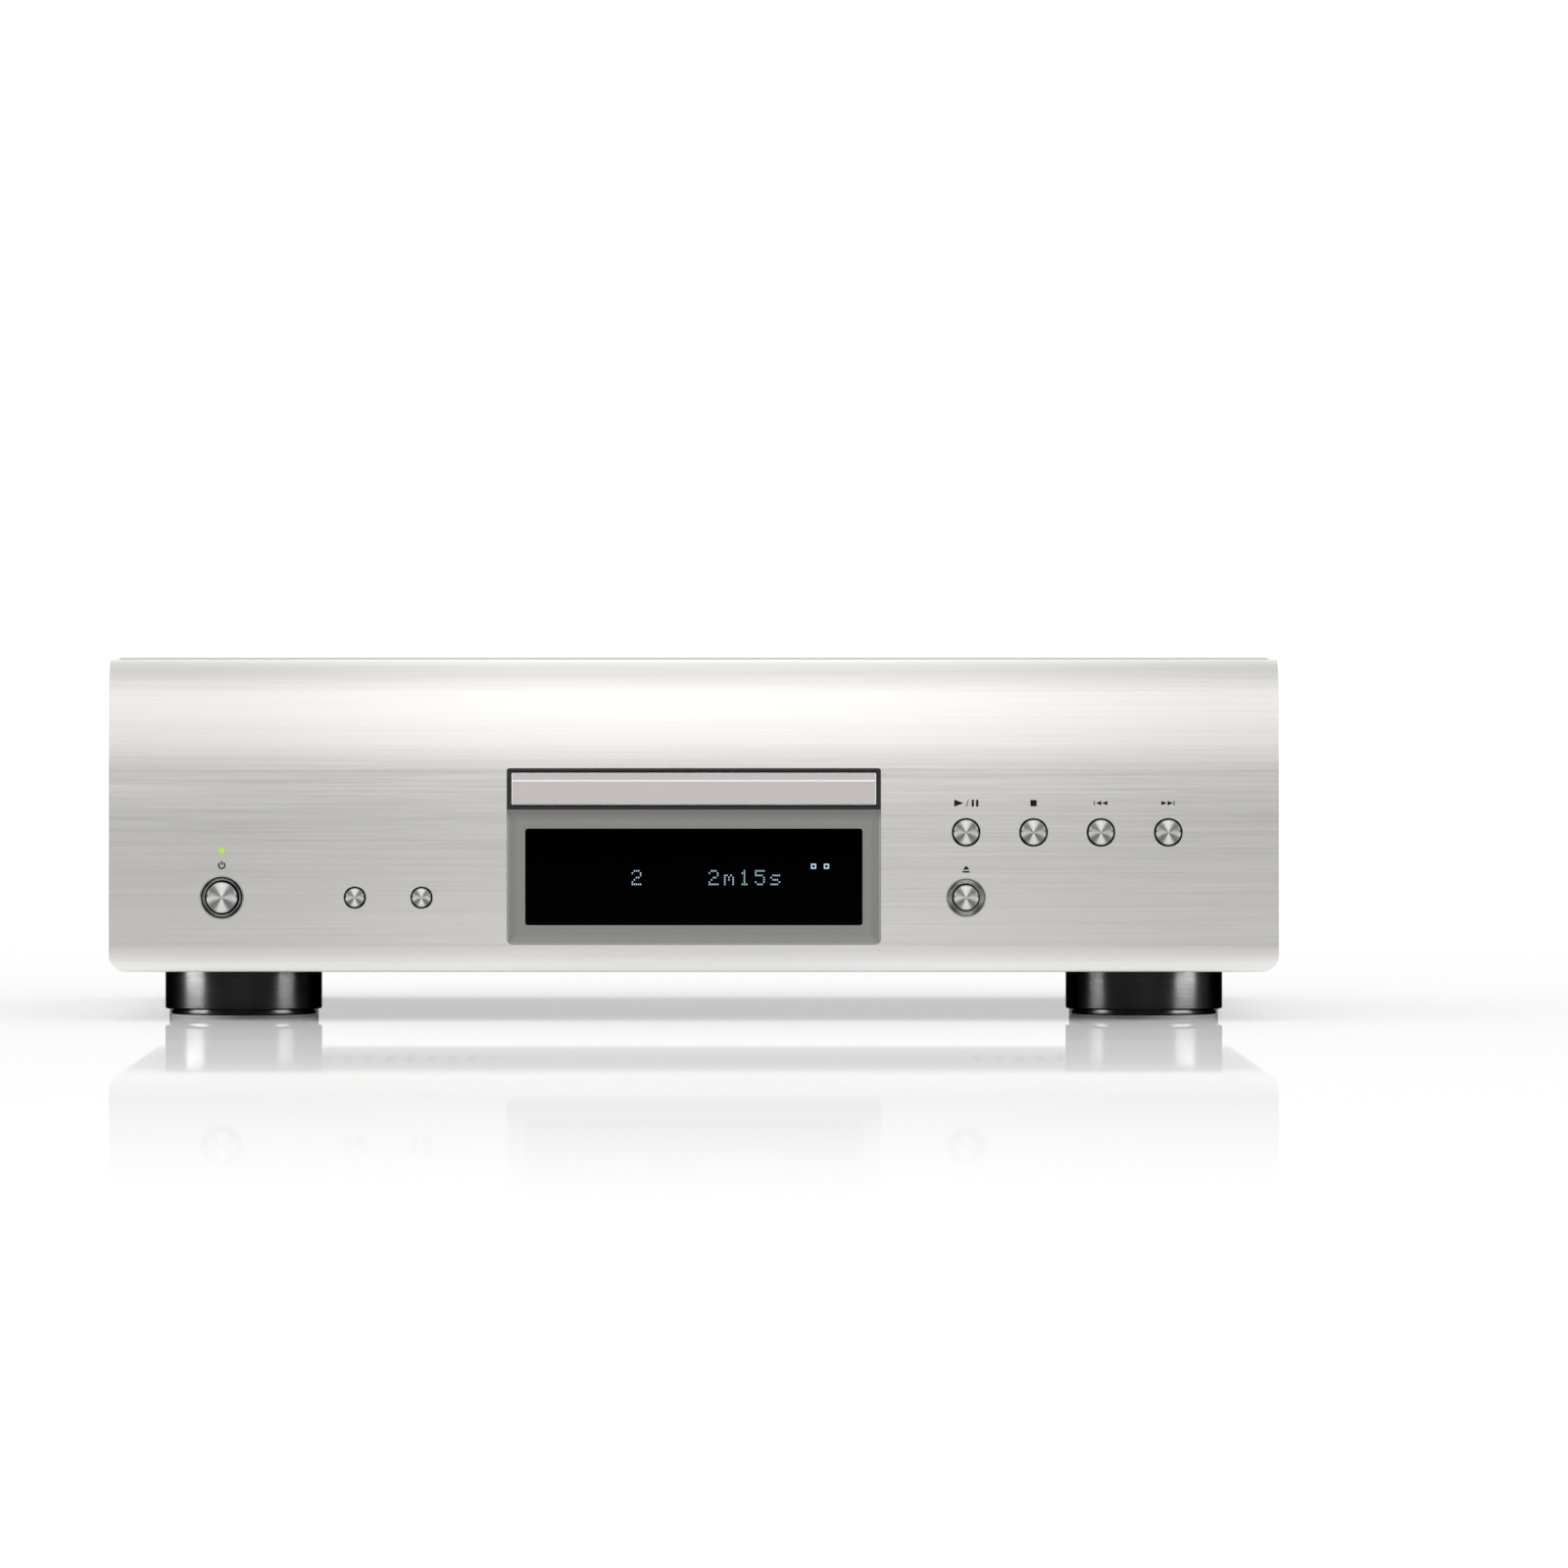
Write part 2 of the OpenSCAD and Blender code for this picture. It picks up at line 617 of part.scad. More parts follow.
module disc_tray() {
    front = face_y + door_d;
    color("#1a1b1d") difference() {
        union() {
            block([-tray_half + 3, front, plate_z0], [tray_half - 3, plate_back, plate_z1]);
            for (s = [-1, 1])
                block([s > 0 ? tray_half - 3.5 : -tray_half, front, tray_bottom],
                    [s > 0 ? tray_half : -tray_half + 3.5, arm_back, plate_z1 + 2.6]);
            block([-tray_half + 3, plate_back - eps, tray_bottom], [-52, arm_back, plate_z1]);
            block([rack_x + 4, plate_back - eps, tray_bottom], [tray_half - 3, arm_back, plate_z1]);
            block([-tray_half + 3, front, tray_bottom + 0.4], [tray_half - 3, front + 3, plate_z1 + 2.6]);
            translate([rack_x, drive_at[1], tray_bottom]) linear_extrude(plate_z0 - tray_bottom + eps)
                rack(gear_m, -1, 45, 3.2);
        }
        translate([0, spindle_y, recess_z]) cylinder(d = disc_recess_d, h = 10);
        translate([0, spindle_y, plate_z1 - 0.4])
            cylinder(d1 = disc_recess_d, d2 = disc_recess_d + 0.8, h = 0.41);
        translate([0, spindle_y, recess_z - 1.2]) cylinder(d = 81, h = 10);
        translate([0, spindle_y, recess_z - 0.5]) cylinder(d1 = 81, d2 = 82, h = 0.51);
        translate([0, spindle_y, plate_z0 - 1]) cylinder(r = slot_half, h = 10);
        block([-slot_half, spindle_y, plate_z0 - 1], [slot_half, plate_back + 1, plate_z1 + 1]);
        for (s = [-1, 1]) translate([s * 48, spindle_y, recess_z - 1.2]) cylinder(d = 26, h = 10);
    }
}

module tray_door() {
    z1 = door_z0 + door_size[1];
    groove_z = z1 - 3;
    edge = 0.4;
    w = door_size[0];
    color("#c3c0bf") difference() {
        across(w) translate([face_y, 0]) polygon([[edge, door_z0], [door_d, door_z0], [door_d, z1],
            [edge, z1], [0, z1 - edge], [0, groove_z + 0.35], [0.35, groove_z], [0, groove_z - 0.35],
            [0, door_z0 + edge]]);
        block([-w, face_y + 2.5, plate_z1 + 0.5], [w, face_y + 3.3, plate_z1 + 1.5]);
    }
}

module drive_gear() {
    color("#e4e2da") translate([drive_at[0], drive_at[1], 0]) difference() {
        union() {
            translate([0, 0, 80.3]) linear_extrude(2.4) gear(gear_m, drive_teeth, 0.35);
            translate([0, 0, 76.5]) linear_extrude(3) gear(reduce_m, reduce_teeth, 0.3);
            translate([0, 0, 73.2]) cylinder(d = 9, h = 8);
        }
        translate([0, 0, 70]) cylinder(d = 4, h = 20);
    }
}

module pulley_gear() {
    color("#e4e2da") translate([pulley_at[0], pulley_at[1], 0]) difference() {
        union() {
            translate([0, 0, 74.4]) rotate(180 / pinion_teeth) linear_extrude(5)
                gear(reduce_m, pinion_teeth, 0.6);
            rotate_extrude() polygon([[0, 70], [pulley_r + 1, 70], [pulley_r + 1, 71], [pulley_r, 71.6],
                [pulley_r, 73], [pulley_r + 1, 73.6], [pulley_r + 1, 74.4 + eps], [0, 74.4 + eps]]);
        }
        translate([0, 0, 69]) cylinder(d = 3, h = 12);
    }
}

module belt_outline(grow) {
    d = pulley_at[0] - loading_motor_at[0];
    side = (pulley_r - motor_pulley_r) / d;
    c = sqrt(1 - side * side);
    big = pulley_r + grow;
    small = motor_pulley_r + grow;
    translate(pulley_at) circle(big);
    translate(loading_motor_at) circle(small);
    polygon([
        [pulley_at[0] - big * side, pulley_at[1] + big * c],
        [loading_motor_at[0] - small * side, loading_motor_at[1] + small * c],
        [loading_motor_at[0] - small * side, loading_motor_at[1] - small * c],
        [pulley_at[0] - big * side, pulley_at[1] - big * c]
    ]);
}

module drive_belt() {
    color("#151515") translate([0, 0, 71.7]) linear_extrude(1.2) difference() {
        belt_outline(1.15);
        belt_outline(0.1);
    }
}

module motor_pulley() {
    color("#d8d6cd") translate([loading_motor_at[0], loading_motor_at[1], 0]) difference() {
        rotate_extrude() polygon([[0, 70], [motor_pulley_r + 1, 70], [motor_pulley_r + 1, 71],
            [motor_pulley_r, 71.6], [motor_pulley_r, 73], [motor_pulley_r + 1, 73.6],
            [motor_pulley_r + 1, 75], [0, 75]]);
        translate([0, 0, 69]) cylinder(d = 2.1, h = 8);
    }
}

module loading_motor() {
    color("#b9babb") {
        bar_z(loading_motor_at, 44, 67.5, 21);
        bar_z(loading_motor_at, 67.4, 69, 6);
        bar_z(loading_motor_at, 69 - eps, 74.5, 2);
    }
}

module cam_slider() {
    slot = 2.6;
    color("#dcdad2") deep(cam_y - cam_t / 2, cam_y + cam_t / 2) difference() {
        translate([-34, 57.5]) square([42, 20]);
        hull() {
            translate([0, pivot[1]]) circle(slot);
            translate([-cam_travel, pivot[1] - cam_drop]) circle(slot);
        }
    }
}

module traverse_frame() {
    front = spindle_y - 20;
    back = pivot[0] + 6;
    half = traverse_half;
    color("#2b2d30") difference() {
        union() {
            block([-half, front, deck_z0], [half, back, deck_z1]);
            for (s = [-1, 1])
                block([s > 0 ? half - 3 : -half, front, 67], [s > 0 ? half : -half + 3, back, deck_z1]);
            bar_x(-65, 65, pivot[0], pivot[1], 4);
            for (s = [-1, 1], y = [spindle_y + 9, spindle_y + 74])
                block([s * rod_x - 3, y, rod_z - 2.6], [s * rod_x + 3, y + 3, deck_z0 + eps]);
            bar_y(0, pivot[1], cam_y - cam_t / 2 - 0.4, front + 1, 4);
            block([-4, front, pivot[1] - 4], [4, front + 3, deck_z0 + 1]);
            bar_z(sled_at, 65.6, deck_z0 + 1, 1.9);
        }
        block([-31, spindle_y + 12.5, 60], [31, spindle_y + 73, deck_z1 + 1]);
        bar_z([0, spindle_y], 60, 80, 9);
        for (s = [-1, 1]) bar_y(s * rod_x, rod_z, spindle_y + 8, spindle_y + 78, 3);
        for (x = [-38, 38], y = [front + 6, back - 14]) bar_z([x, y], 60, 80, 3.2);
    }
}

module spindle_motor() {
    color("#c0c1c2") {
        bar_z([0, spindle_y], 66, deck_z0 - 0.02, 22);
        bar_z([0, spindle_y], deck_z0 - 0.1, 83, 5);
        bar_z([0, spindle_y], 82.9, 85.8, 2);
    }
}

module turntable() {
    color("#202225") translate([0, spindle_y, 0]) difference() {
        rotate_extrude() polygon([[0, 84.2], [15, 84.2], [17, 85.4], [17, disc_z], [8.2, disc_z],
            [8.2, disc_z - 0.3], [7.45, disc_z - 0.3], [7.45, disc_z + 0.9], [6.4, disc_z + 1.9],
            [0, disc_z + 1.9]]);
        translate([0, 0, 80]) cylinder(d = 2.1, h = 6);
    }
}

module guide_rods() {
    color("#d5d7d8") for (s = [-1, 1]) bar_y(s * rod_x, rod_z, spindle_y + 9, spindle_y + 77, 3);
}

module pickup() {
    y0 = spindle_y + 13.3;
    y1 = y0 + 21;
    color("#3a3c40") difference() {
        union() {
            block([-28, y0, rod_z - 3], [28, y1, 76]);
            block([-12, y0 + 5, 76 - eps], [12, y1 - 1, lens_z + 1]);
            translate([sled_rack_x, sled_at[1], rod_z - 2.2]) linear_extrude(2.2)
                mirror([1, 0]) rack(sled_m, -20, 0, 1.6);
        }
        for (s = [-1, 1]) bar_y(s * rod_x, rod_z, y0 - 1, y1 + 1, 3.1);
        translate([0, spindle_y + 24, lens_z - 0.6]) cylinder(d = 9, h = 5);
    }
}

module pickup_lens() {
    color("#6f7fae") translate([0, spindle_y + 24, lens_z]) {
        cylinder(d = 8, h = 2.2);
        translate([0, 0, 2.2 - eps]) cylinder(d1 = 6, d2 = 4, h = 1.2);
    }
}

module sled_gear() {
    color("#e4e2da") translate([sled_at[0], sled_at[1], 0]) difference() {
        union() {
            translate([0, 0, rod_z - 2.4]) linear_extrude(2.6) gear(sled_m, sled_teeth, 0.5);
            translate([0, 0, 66.6]) linear_extrude(2.4) gear(wheel_m, wheel_teeth, 0.3);
            translate([0, 0, 66.2]) cylinder(d = 5, h = 6);
        }
        translate([0, 0, 60]) cylinder(d = 2, h = 20);
    }
}

module sled_motor() {
    color("#b9babb") {
        bar_z([sled_at[0], sled_motor_y], 50, 65.2, 12);
        bar_z([sled_at[0], sled_motor_y], 65.1, 70.2, 1.5);
        block([sled_at[0] - 3, sled_motor_y + 5, 50], [sled_at[0] + 3, sled_motor_y + 9, deck_z0]);
    }
}

module sled_pinion() {
    color("#d9b56a") translate([sled_at[0], sled_motor_y, 66]) difference() {
        linear_extrude(3.6) gear(wheel_m, sled_pinion_teeth, 0.8);
        translate([0, 0, -1]) cylinder(d = 1.55, h = 6);
    }
}

module clamp_bridge() {
    y0 = spindle_y - 20;
    y1 = spindle_y + 20;
    color("#9fa2a4") difference() {
        union() {
            block([-74, y0, 96], [74, y1, 97.5]);
            for (s = [-1, 1]) block([s > 0 ? 70.2 : -71.7, y0 + 5, 84], [s > 0 ? 71.7 : -70.2, y1 - 5, 97.5]);
            translate([0, spindle_y, 97.5 - eps]) ring(42, 36, 2);
        }
        bar_z([0, spindle_y], 90, 110, 30);
    }
}

module clamp_puck() {
    color("#e9e8e3") translate([0, spindle_y, 0]) difference() {
        rotate_extrude() polygon([[0, 91.2], [8.5, 91.2], [8.5, 90.2], [15.5, 90.2], [15.5, 92], [13.6, 92.6],
            [13.6, 98], [17, 98.2], [17, 99.8], [0, 99.8]]);
        translate([0, 0, 98.8]) ring(26, 20, 3);
    }
}

// ---------- electronics ----------

module transformer() {
    c = [-148, -78];
    core = 8;
    height = 56;
    color("#6b5a44") {
        block([c[0] - 42, c[1] - 34, deck_z + core], [c[0] + 42, c[1] + 34, deck_z + core + height]);
        for (z = [deck_z, deck_z + core + height - eps])
            block([c[0] - 30, c[1] - 44, z], [c[0] + 30, c[1] + 44, z + core + eps]);
        for (s = [-1, 1]) difference() {
            block([c[0] - 48, c[1] + s * 30 - 4, deck_z], [c[0] + 48, c[1] + s * 30 + 4, deck_z + 10]);
            bar_z([c[0] - 45, c[1] + s * 30], deck_z - 1, deck_z + 12, 3.4);
            bar_z([c[0] + 45, c[1] + s * 30], deck_z - 1, deck_z + 12, 3.4);
        }
    }
}

module power_board() {
    color("#2a6b3f") {
        difference() {
            block([-206, -20, deck_z + 8], [-92, 138, deck_z + 9.6]);
            for (x = [-202, -96], y = [-16, 134]) bar_z([x, y], deck_z, deck_z + 20, 3.4);
        }
        for (x = [-202, -96], y = [-16, 134]) translate([x, y, deck_z]) ring(7, 3, 8 + eps);
        for (i = [0:4]) block([-120 + i * 5, 60, deck_z + 9.6 - eps], [-118 + i * 5, 118, deck_z + 40]);
        block([-121, 87, deck_z + 9.6 - eps], [-98, 90, deck_z + 38]);
    }
}

module capacitors() {
    color("#2b3a55") {
        for (x = [-186, -152], y = [14, 50]) bar_z([x, y], deck_z + 9.6, deck_z + 49, 30);
        for (i = [0:3]) bar_z([-192 + i * 17, 92], deck_z + 9.6, deck_z + 30, 12.5);
        for (i = [0:5]) bar_z([126 + i * 13, 60], deck_z + 9.6, deck_z + 26, 10);
        for (i = [0:5]) bar_z([126 + i * 13, 84], deck_z + 9.6, deck_z + 22, 8);
    }
}

module main_boards() {
    top = deck_z + 9.6;
    color("#24583a") {
        for (b = [[92, -110, 206, 138], [-64, -64, 64, 130]]) {
            difference() {
                block([b[0], b[1], top - board_t], [b[2], b[3], top]);
                for (x = [b[0] + 4, b[2] - 4], y = [b[1] + 4, b[3] - 4]) bar_z([x, y], deck_z, top + 1, 3.4);
            }
            for (x = [b[0] + 4, b[2] - 4], y = [b[1] + 4, b[3] - 4])
                translate([x, y, deck_z]) ring(7, 3, 8 + eps);
        }
        for (p = [[110, -80, 14], [140, -60, 10], [170, -30, 14], [118, -20, 20], [160, 20, 10], [185, 10, 8],
            [-30, 20, 20], [12, 40, 14], [-10, 76, 12], [34, 0, 10]])
            block([p[0], p[1], top - eps], [p[0] + p[2], p[1] + p[2], top + 2]);
        block([-84, rear_y - jack_depth - board_t, 62], [92, rear_y - jack_depth, 104]);
    }
}

// A flat cable as a thin strip that follows (y, z) points, starting at x.
module flat_cable(x, w, points) {
    for (i = [0:len(points) - 2])
        hull() for (p = [points[i], points[i + 1]])
            translate([x, p[0], p[1]]) rotate([0, 90, 0]) cylinder(d = 0.5, h = w, $fn = 16);
}

module ribbon_cables() {
    front = board_y + board_t + 0.25;
    back = rear_y - jack_depth - board_t - 0.25;
    seat = deck_z + 9.85;
    color("#e8e6df") {
        flat_cable(100, 24, [[front, 60], [board_y + 8, 42], [-112, 38], [-106, seat]]);
        flat_cable(-60, 20, [[front, 53], [-125, 49], [-66, 42], [-56, seat]]);
        flat_cable(30, 20, [[back, 72], [back - 4, 46], [120, seat]]);
    }
}

// ---------- rear sockets ----------

module phono_shells() {
    color("#cfae66") for (p = phono_at)
        translate([p[0], rear_y, p[1]]) rotate([-90, 0, 0]) {
            translate([0, 0, 2]) ring(8.3, 6.9, jack_proud - 2);
        }
}

module phono_insulators() {
    color("#c8342c") for (p = phono_at)
        translate([p[0], rear_y, p[1]]) rotate([-90, 0, 0]) difference() {
            union() {
                translate([0, 0, -jack_depth]) cylinder(d = 8.8, h = jack_depth + eps);
                cylinder(d = 13, h = 2);
                cylinder(d = 6.8, h = jack_proud - 0.6);
            }
            translate([0, 0, -4]) cylinder(d = 3.3, h = 30);
        }
}

module socket_block() {
    color("#141414") {
        translate([optical_at[0], 0, optical_at[1]]) difference() {
            union() {
                deep(rear_y - jack_depth, rear_y + 0.6) rounded(12, 12, 0.4);
                deep(rear_y, rear_y + 1.4) rounded(15, 15, 1);
            }
            deep(rear_y - 11, rear_y + 3) rounded(9.6, 9.6, 0.4);
        }
        for (p = remote_at)
            translate([p[0], rear_y, p[1]]) rotate([-90, 0, 0]) difference() {
                union() {
                    translate([0, 0, -jack_depth]) cylinder(d = 8, h = jack_depth + eps);
                    cylinder(d = 11, h = 1.6);
                    cylinder(d = 6.4, h = 3);
                }
                translate([0, 0, -9]) cylinder(d = 3.6, h = 20);
            }
    }
}

module optical_flap() {
    z1 = optical_at[1] + 4.2;
    color("#222222") {
        block([optical_at[0] - 4.5, rear_y - 1, optical_at[1] - 4.5],
            [optical_at[0] + 4.5, rear_y - 0.2, z1]);
        bar_x(optical_at[0] - 4.5, optical_at[0] + 4.5, rear_y - 0.6, z1 - 0.2, 1.2);
    }
}

module ac_inlet() {
    color("#1a1a1a") translate([inlet_at[0], 0, inlet_at[1]]) difference() {
        union() {
            deep(rear_y - 20, rear_y + 0.1) rounded(28, 20.2, 2);
            deep(rear_y, rear_y + 2) rounded(50, 23, 3);
        }
        difference() {
            deep(rear_y - 17.5, rear_y + 3) rounded(24.4, 16.6, 2);
            for (s = [-1, 1]) block([s * 7 - 1, rear_y - 18, -2], [s * 7 + 1, rear_y - 1.5, 2]);
        }
        for (s = [-1, 1]) bar_y(s * inlet_screw_x, 0, rear_y - 1, rear_y + 3, 3.2);
    }
}

front_panel();
tray_surround();
display_frame();
display_window();
button_rings();
power_lamp();
button_collars();
power_button();
layer_button();
direct_button();
play_button();
stop_button();
previous_button();
next_button();
eject_button();
tact_switches();
front_boards();
display_tube();
top_cover();
bottom_chassis();
rear_panel();
front_subframe();
foot_front_left();
foot_front_right();
foot_rear_left();
foot_rear_right();
foot_pads();
cover_screws();
chassis_screws();
loader_frame();
loader_bracket();
disc_tray();
tray_door();
drive_gear();
pulley_gear();
drive_belt();
motor_pulley();
loading_motor();
cam_slider();
traverse_frame();
spindle_motor();
turntable();
guide_rods();
pickup();
pickup_lens();
sled_gear();
sled_motor();
sled_pinion();
clamp_bridge();
clamp_puck();
transformer();
power_board();
capacitors();
main_boards();
ribbon_cables();
phono_shells();
phono_insulators();
socket_block();
optical_flap();
ac_inlet();
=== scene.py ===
"""Finishes, lit display, turned controls, board parts and studio for a full-width CD player.

The CAD frame gives every place and size. Each operator dresses one piece, or a group of like pieces.
"""

import json
import math
import random

import bmesh
import bpy
from bpy.props import FloatProperty, FloatVectorProperty, PointerProperty, StringProperty
from mathutils import Matrix, Vector

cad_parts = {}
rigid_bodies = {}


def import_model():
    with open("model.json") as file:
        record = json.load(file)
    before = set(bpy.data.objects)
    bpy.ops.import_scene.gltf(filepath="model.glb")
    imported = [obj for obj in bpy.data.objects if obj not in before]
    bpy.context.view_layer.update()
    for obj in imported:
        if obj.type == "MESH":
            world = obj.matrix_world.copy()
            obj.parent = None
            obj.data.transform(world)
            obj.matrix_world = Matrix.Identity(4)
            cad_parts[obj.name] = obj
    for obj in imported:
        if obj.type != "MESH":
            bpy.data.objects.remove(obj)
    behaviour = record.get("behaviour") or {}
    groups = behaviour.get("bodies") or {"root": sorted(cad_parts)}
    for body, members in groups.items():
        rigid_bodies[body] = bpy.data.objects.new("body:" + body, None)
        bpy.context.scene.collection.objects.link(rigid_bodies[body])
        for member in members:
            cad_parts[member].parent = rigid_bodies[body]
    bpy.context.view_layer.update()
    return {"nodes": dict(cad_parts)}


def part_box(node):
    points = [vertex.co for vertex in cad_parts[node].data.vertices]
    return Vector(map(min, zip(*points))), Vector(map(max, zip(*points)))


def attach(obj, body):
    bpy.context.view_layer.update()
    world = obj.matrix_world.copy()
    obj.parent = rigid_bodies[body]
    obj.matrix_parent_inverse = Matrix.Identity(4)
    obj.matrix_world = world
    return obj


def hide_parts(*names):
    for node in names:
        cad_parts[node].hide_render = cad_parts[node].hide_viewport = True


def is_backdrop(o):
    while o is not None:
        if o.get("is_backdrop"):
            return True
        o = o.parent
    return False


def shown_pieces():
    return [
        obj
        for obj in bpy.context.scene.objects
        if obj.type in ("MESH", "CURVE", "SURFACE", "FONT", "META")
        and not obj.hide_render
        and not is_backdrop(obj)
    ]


bl_info = {
    "name": "Disc player finishes",
    "version": (1, 0, 0),
    "blender": (4, 5, 0),
    "location": "View3D > Sidebar > Disc player",
    "description": "Finishes, controls, display and studio for a full-width disc player",
    "category": "Object",
}

for leftover in list(bpy.data.objects):
    bpy.data.objects.remove(leftover)
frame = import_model()

MM = 0.001
FACE_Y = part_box("front_panel")[0].y
FACING = Matrix.Rotation(math.pi / 2, 4, "X")
BUTTONS = ("power", "layer", "direct", "play", "stop", "previous", "next", "eject")
RINGED = ("power", "eject")


# ---------- settings ----------


def length(name, description, default):
    """A size in metres that a user may change."""
    return FloatProperty(name=name, description=description, default=default, unit="LENGTH", precision=5)


def colour(name, description, default):
    """A linear colour that a user may change."""
    return FloatVectorProperty(name=name, description=description, default=default, size=3, subtype="COLOR",
                               min=0.0, max=1.0)


def number(name, description, default):
    """A plain number that a user may change."""
    return FloatProperty(name=name, description=description, default=default)


class PLAYER_PG_cabinet(bpy.types.PropertyGroup):
    """Colours of the cabinet."""

    panel: colour("Front panel", "Brushed aluminium of the front panel", (0.80, 0.788, 0.765))
    cover: colour("Cover", "Silver paint of the top cover", (0.60, 0.595, 0.58))
    rear: colour("Rear panel", "Dark paint of the rear panel", (0.045, 0.045, 0.047))
    zinc: colour("Sheet steel", "Zinc-plated sheet steel", (0.60, 0.61, 0.60))
    foot: colour("Feet", "Turned black feet", (0.018, 0.018, 0.018))
    bezel: colour("Display frame", "Metallic grey paint of the display frame", (0.272, 0.269, 0.258))


class PLAYER_PG_controls(bpy.types.PropertyGroup):
    """Sizes and colour of the turned controls and the symbols above them."""

    cap: length("Cap", "Diameter of a transport button's cap", 9.2 * MM)
    small_cap: length("Small cap", "Diameter of a small button's cap", 6.9 * MM)
    power_cap: length("Power cap", "Diameter of the power button's cap", 11.4 * MM)
    bevel: length("Bevel", "Width of the polished bevel round a cap", 0.52 * MM)
    metal: colour("Metal", "Turned aluminium of caps and rings", (0.82, 0.815, 0.80))
    symbol_lift: length("Symbol lift", "Height of a symbol above its button's centre", 10.85 * MM)
    ink: colour("Ink", "Printed symbols", (0.012, 0.010, 0.009))


class PLAYER_PG_display(bpy.types.PropertyGroup):
    """What the display shows, and how large."""

    pitch_x: length("Dot pitch across", "Distance between dots across", 0.77 * MM)
    pitch_z: length("Dot pitch up", "Distance between dots upwards", 0.83 * MM)
    character: length("Character pitch", "Distance between characters", 5.72 * MM)
    base: length("Base line", "Height of the characters' lowest dots above the shelf", 51.0 * MM)
    track_x: length("Track place", "Left edge of the track number from the centre line", -23.2 * MM)
    time_x: length("Time place", "Left edge of the time from the centre line", 5.4 * MM)
    track: StringProperty(name="Track", description="Track number shown", default="2")
    time: StringProperty(name="Time", description="Playing time shown", default="2m15s")
    lit: colour("Lit colour", "Colour of the lit dots", (0.50, 0.83, 0.95))
    glow: number("Glow", "Strength of the lit dots", 0.68)
    lamp: colour("Lamp", "Colour of the power lamp", (0.46, 0.80, 0.0))


class PLAYER_PG_studio(bpy.types.PropertyGroup):
    """Camera, lights and floor."""

    distance: length("Distance", "Camera distance in front of the panel", 4.0)
    eye: length("Eye height", "Camera height above the floor", 0.130)
    lens: number("Lens", "Focal length in millimetres", 247.6)
    shift_x: number("Shift across", "Camera shift across, as a part of the frame", 0.0575)
    shift_y: number("Shift up", "Camera shift up, as a part of the frame", -0.0718)
    front_level: number("Front level", "Brightness of the room in front of the player", 1.40)
    back_level: number("Back level", "Brightness of the white backdrop", 1.08)
    side_level: number("Side level", "Brightness low down at the sides", 0.12)
    left_strip: number("Left strip", "Power of the low strip light on the left, in watts", 70.0)
    right_strip: number("Right strip", "Power of the low strip light on the right, in watts", 58.0)
    floor: colour("Floor", "White floor", (0.97, 0.97, 0.97))
    floor_glow: number("Floor glow", "Light that the lit floor itself gives off", 0.06)


SETTINGS = {
    "player_cabinet": PLAYER_PG_cabinet,
    "player_controls": PLAYER_PG_controls,
    "player_display": PLAYER_PG_display,
    "player_studio": PLAYER_PG_studio,
}


# ---------- finishes ----------


class Value:
    """A socket whose Python arithmetic adds Math nodes."""

    def __init__(self, finish, socket):
        self.finish = finish
        self.socket = socket

    def math(self, operation, *terms):
        return self.finish.node("Math", {"operation": operation}, terms)

    def __add__(self, other):
        return self.math("ADD", self, other)

    __radd__ = __add__

    def __sub__(self, other):
        return self.math("SUBTRACT", self, other)

    def __rsub__(self, other):
        return self.math("SUBTRACT", other, self)

    def __mul__(self, other):
        return self.math("MULTIPLY", self, other)

    __rmul__ = __mul__

    def __truediv__(self, other):
        return self.math("DIVIDE", self, other)

    def __neg__(self):
        return self.math("MULTIPLY", self, -1.0)

    def __abs__(self):
        return self.math("ABSOLUTE", self)

    def sine(self):
        return self.math("SINE", self)

    def most(self, other):
        """The larger of the two."""
        return self.math("MAXIMUM", self, other)

    def above(self, level):
        return self.math("GREATER_THAN", self, level)

    def between(self, low, high):
        """0 at low and below, 1 at high and above, smooth between."""
        settings = {"interpolation_type": "SMOOTHSTEP"}
        return self.finish.node("MapRange", settings, {"Value": self, "From Min": low, "From Max": high})


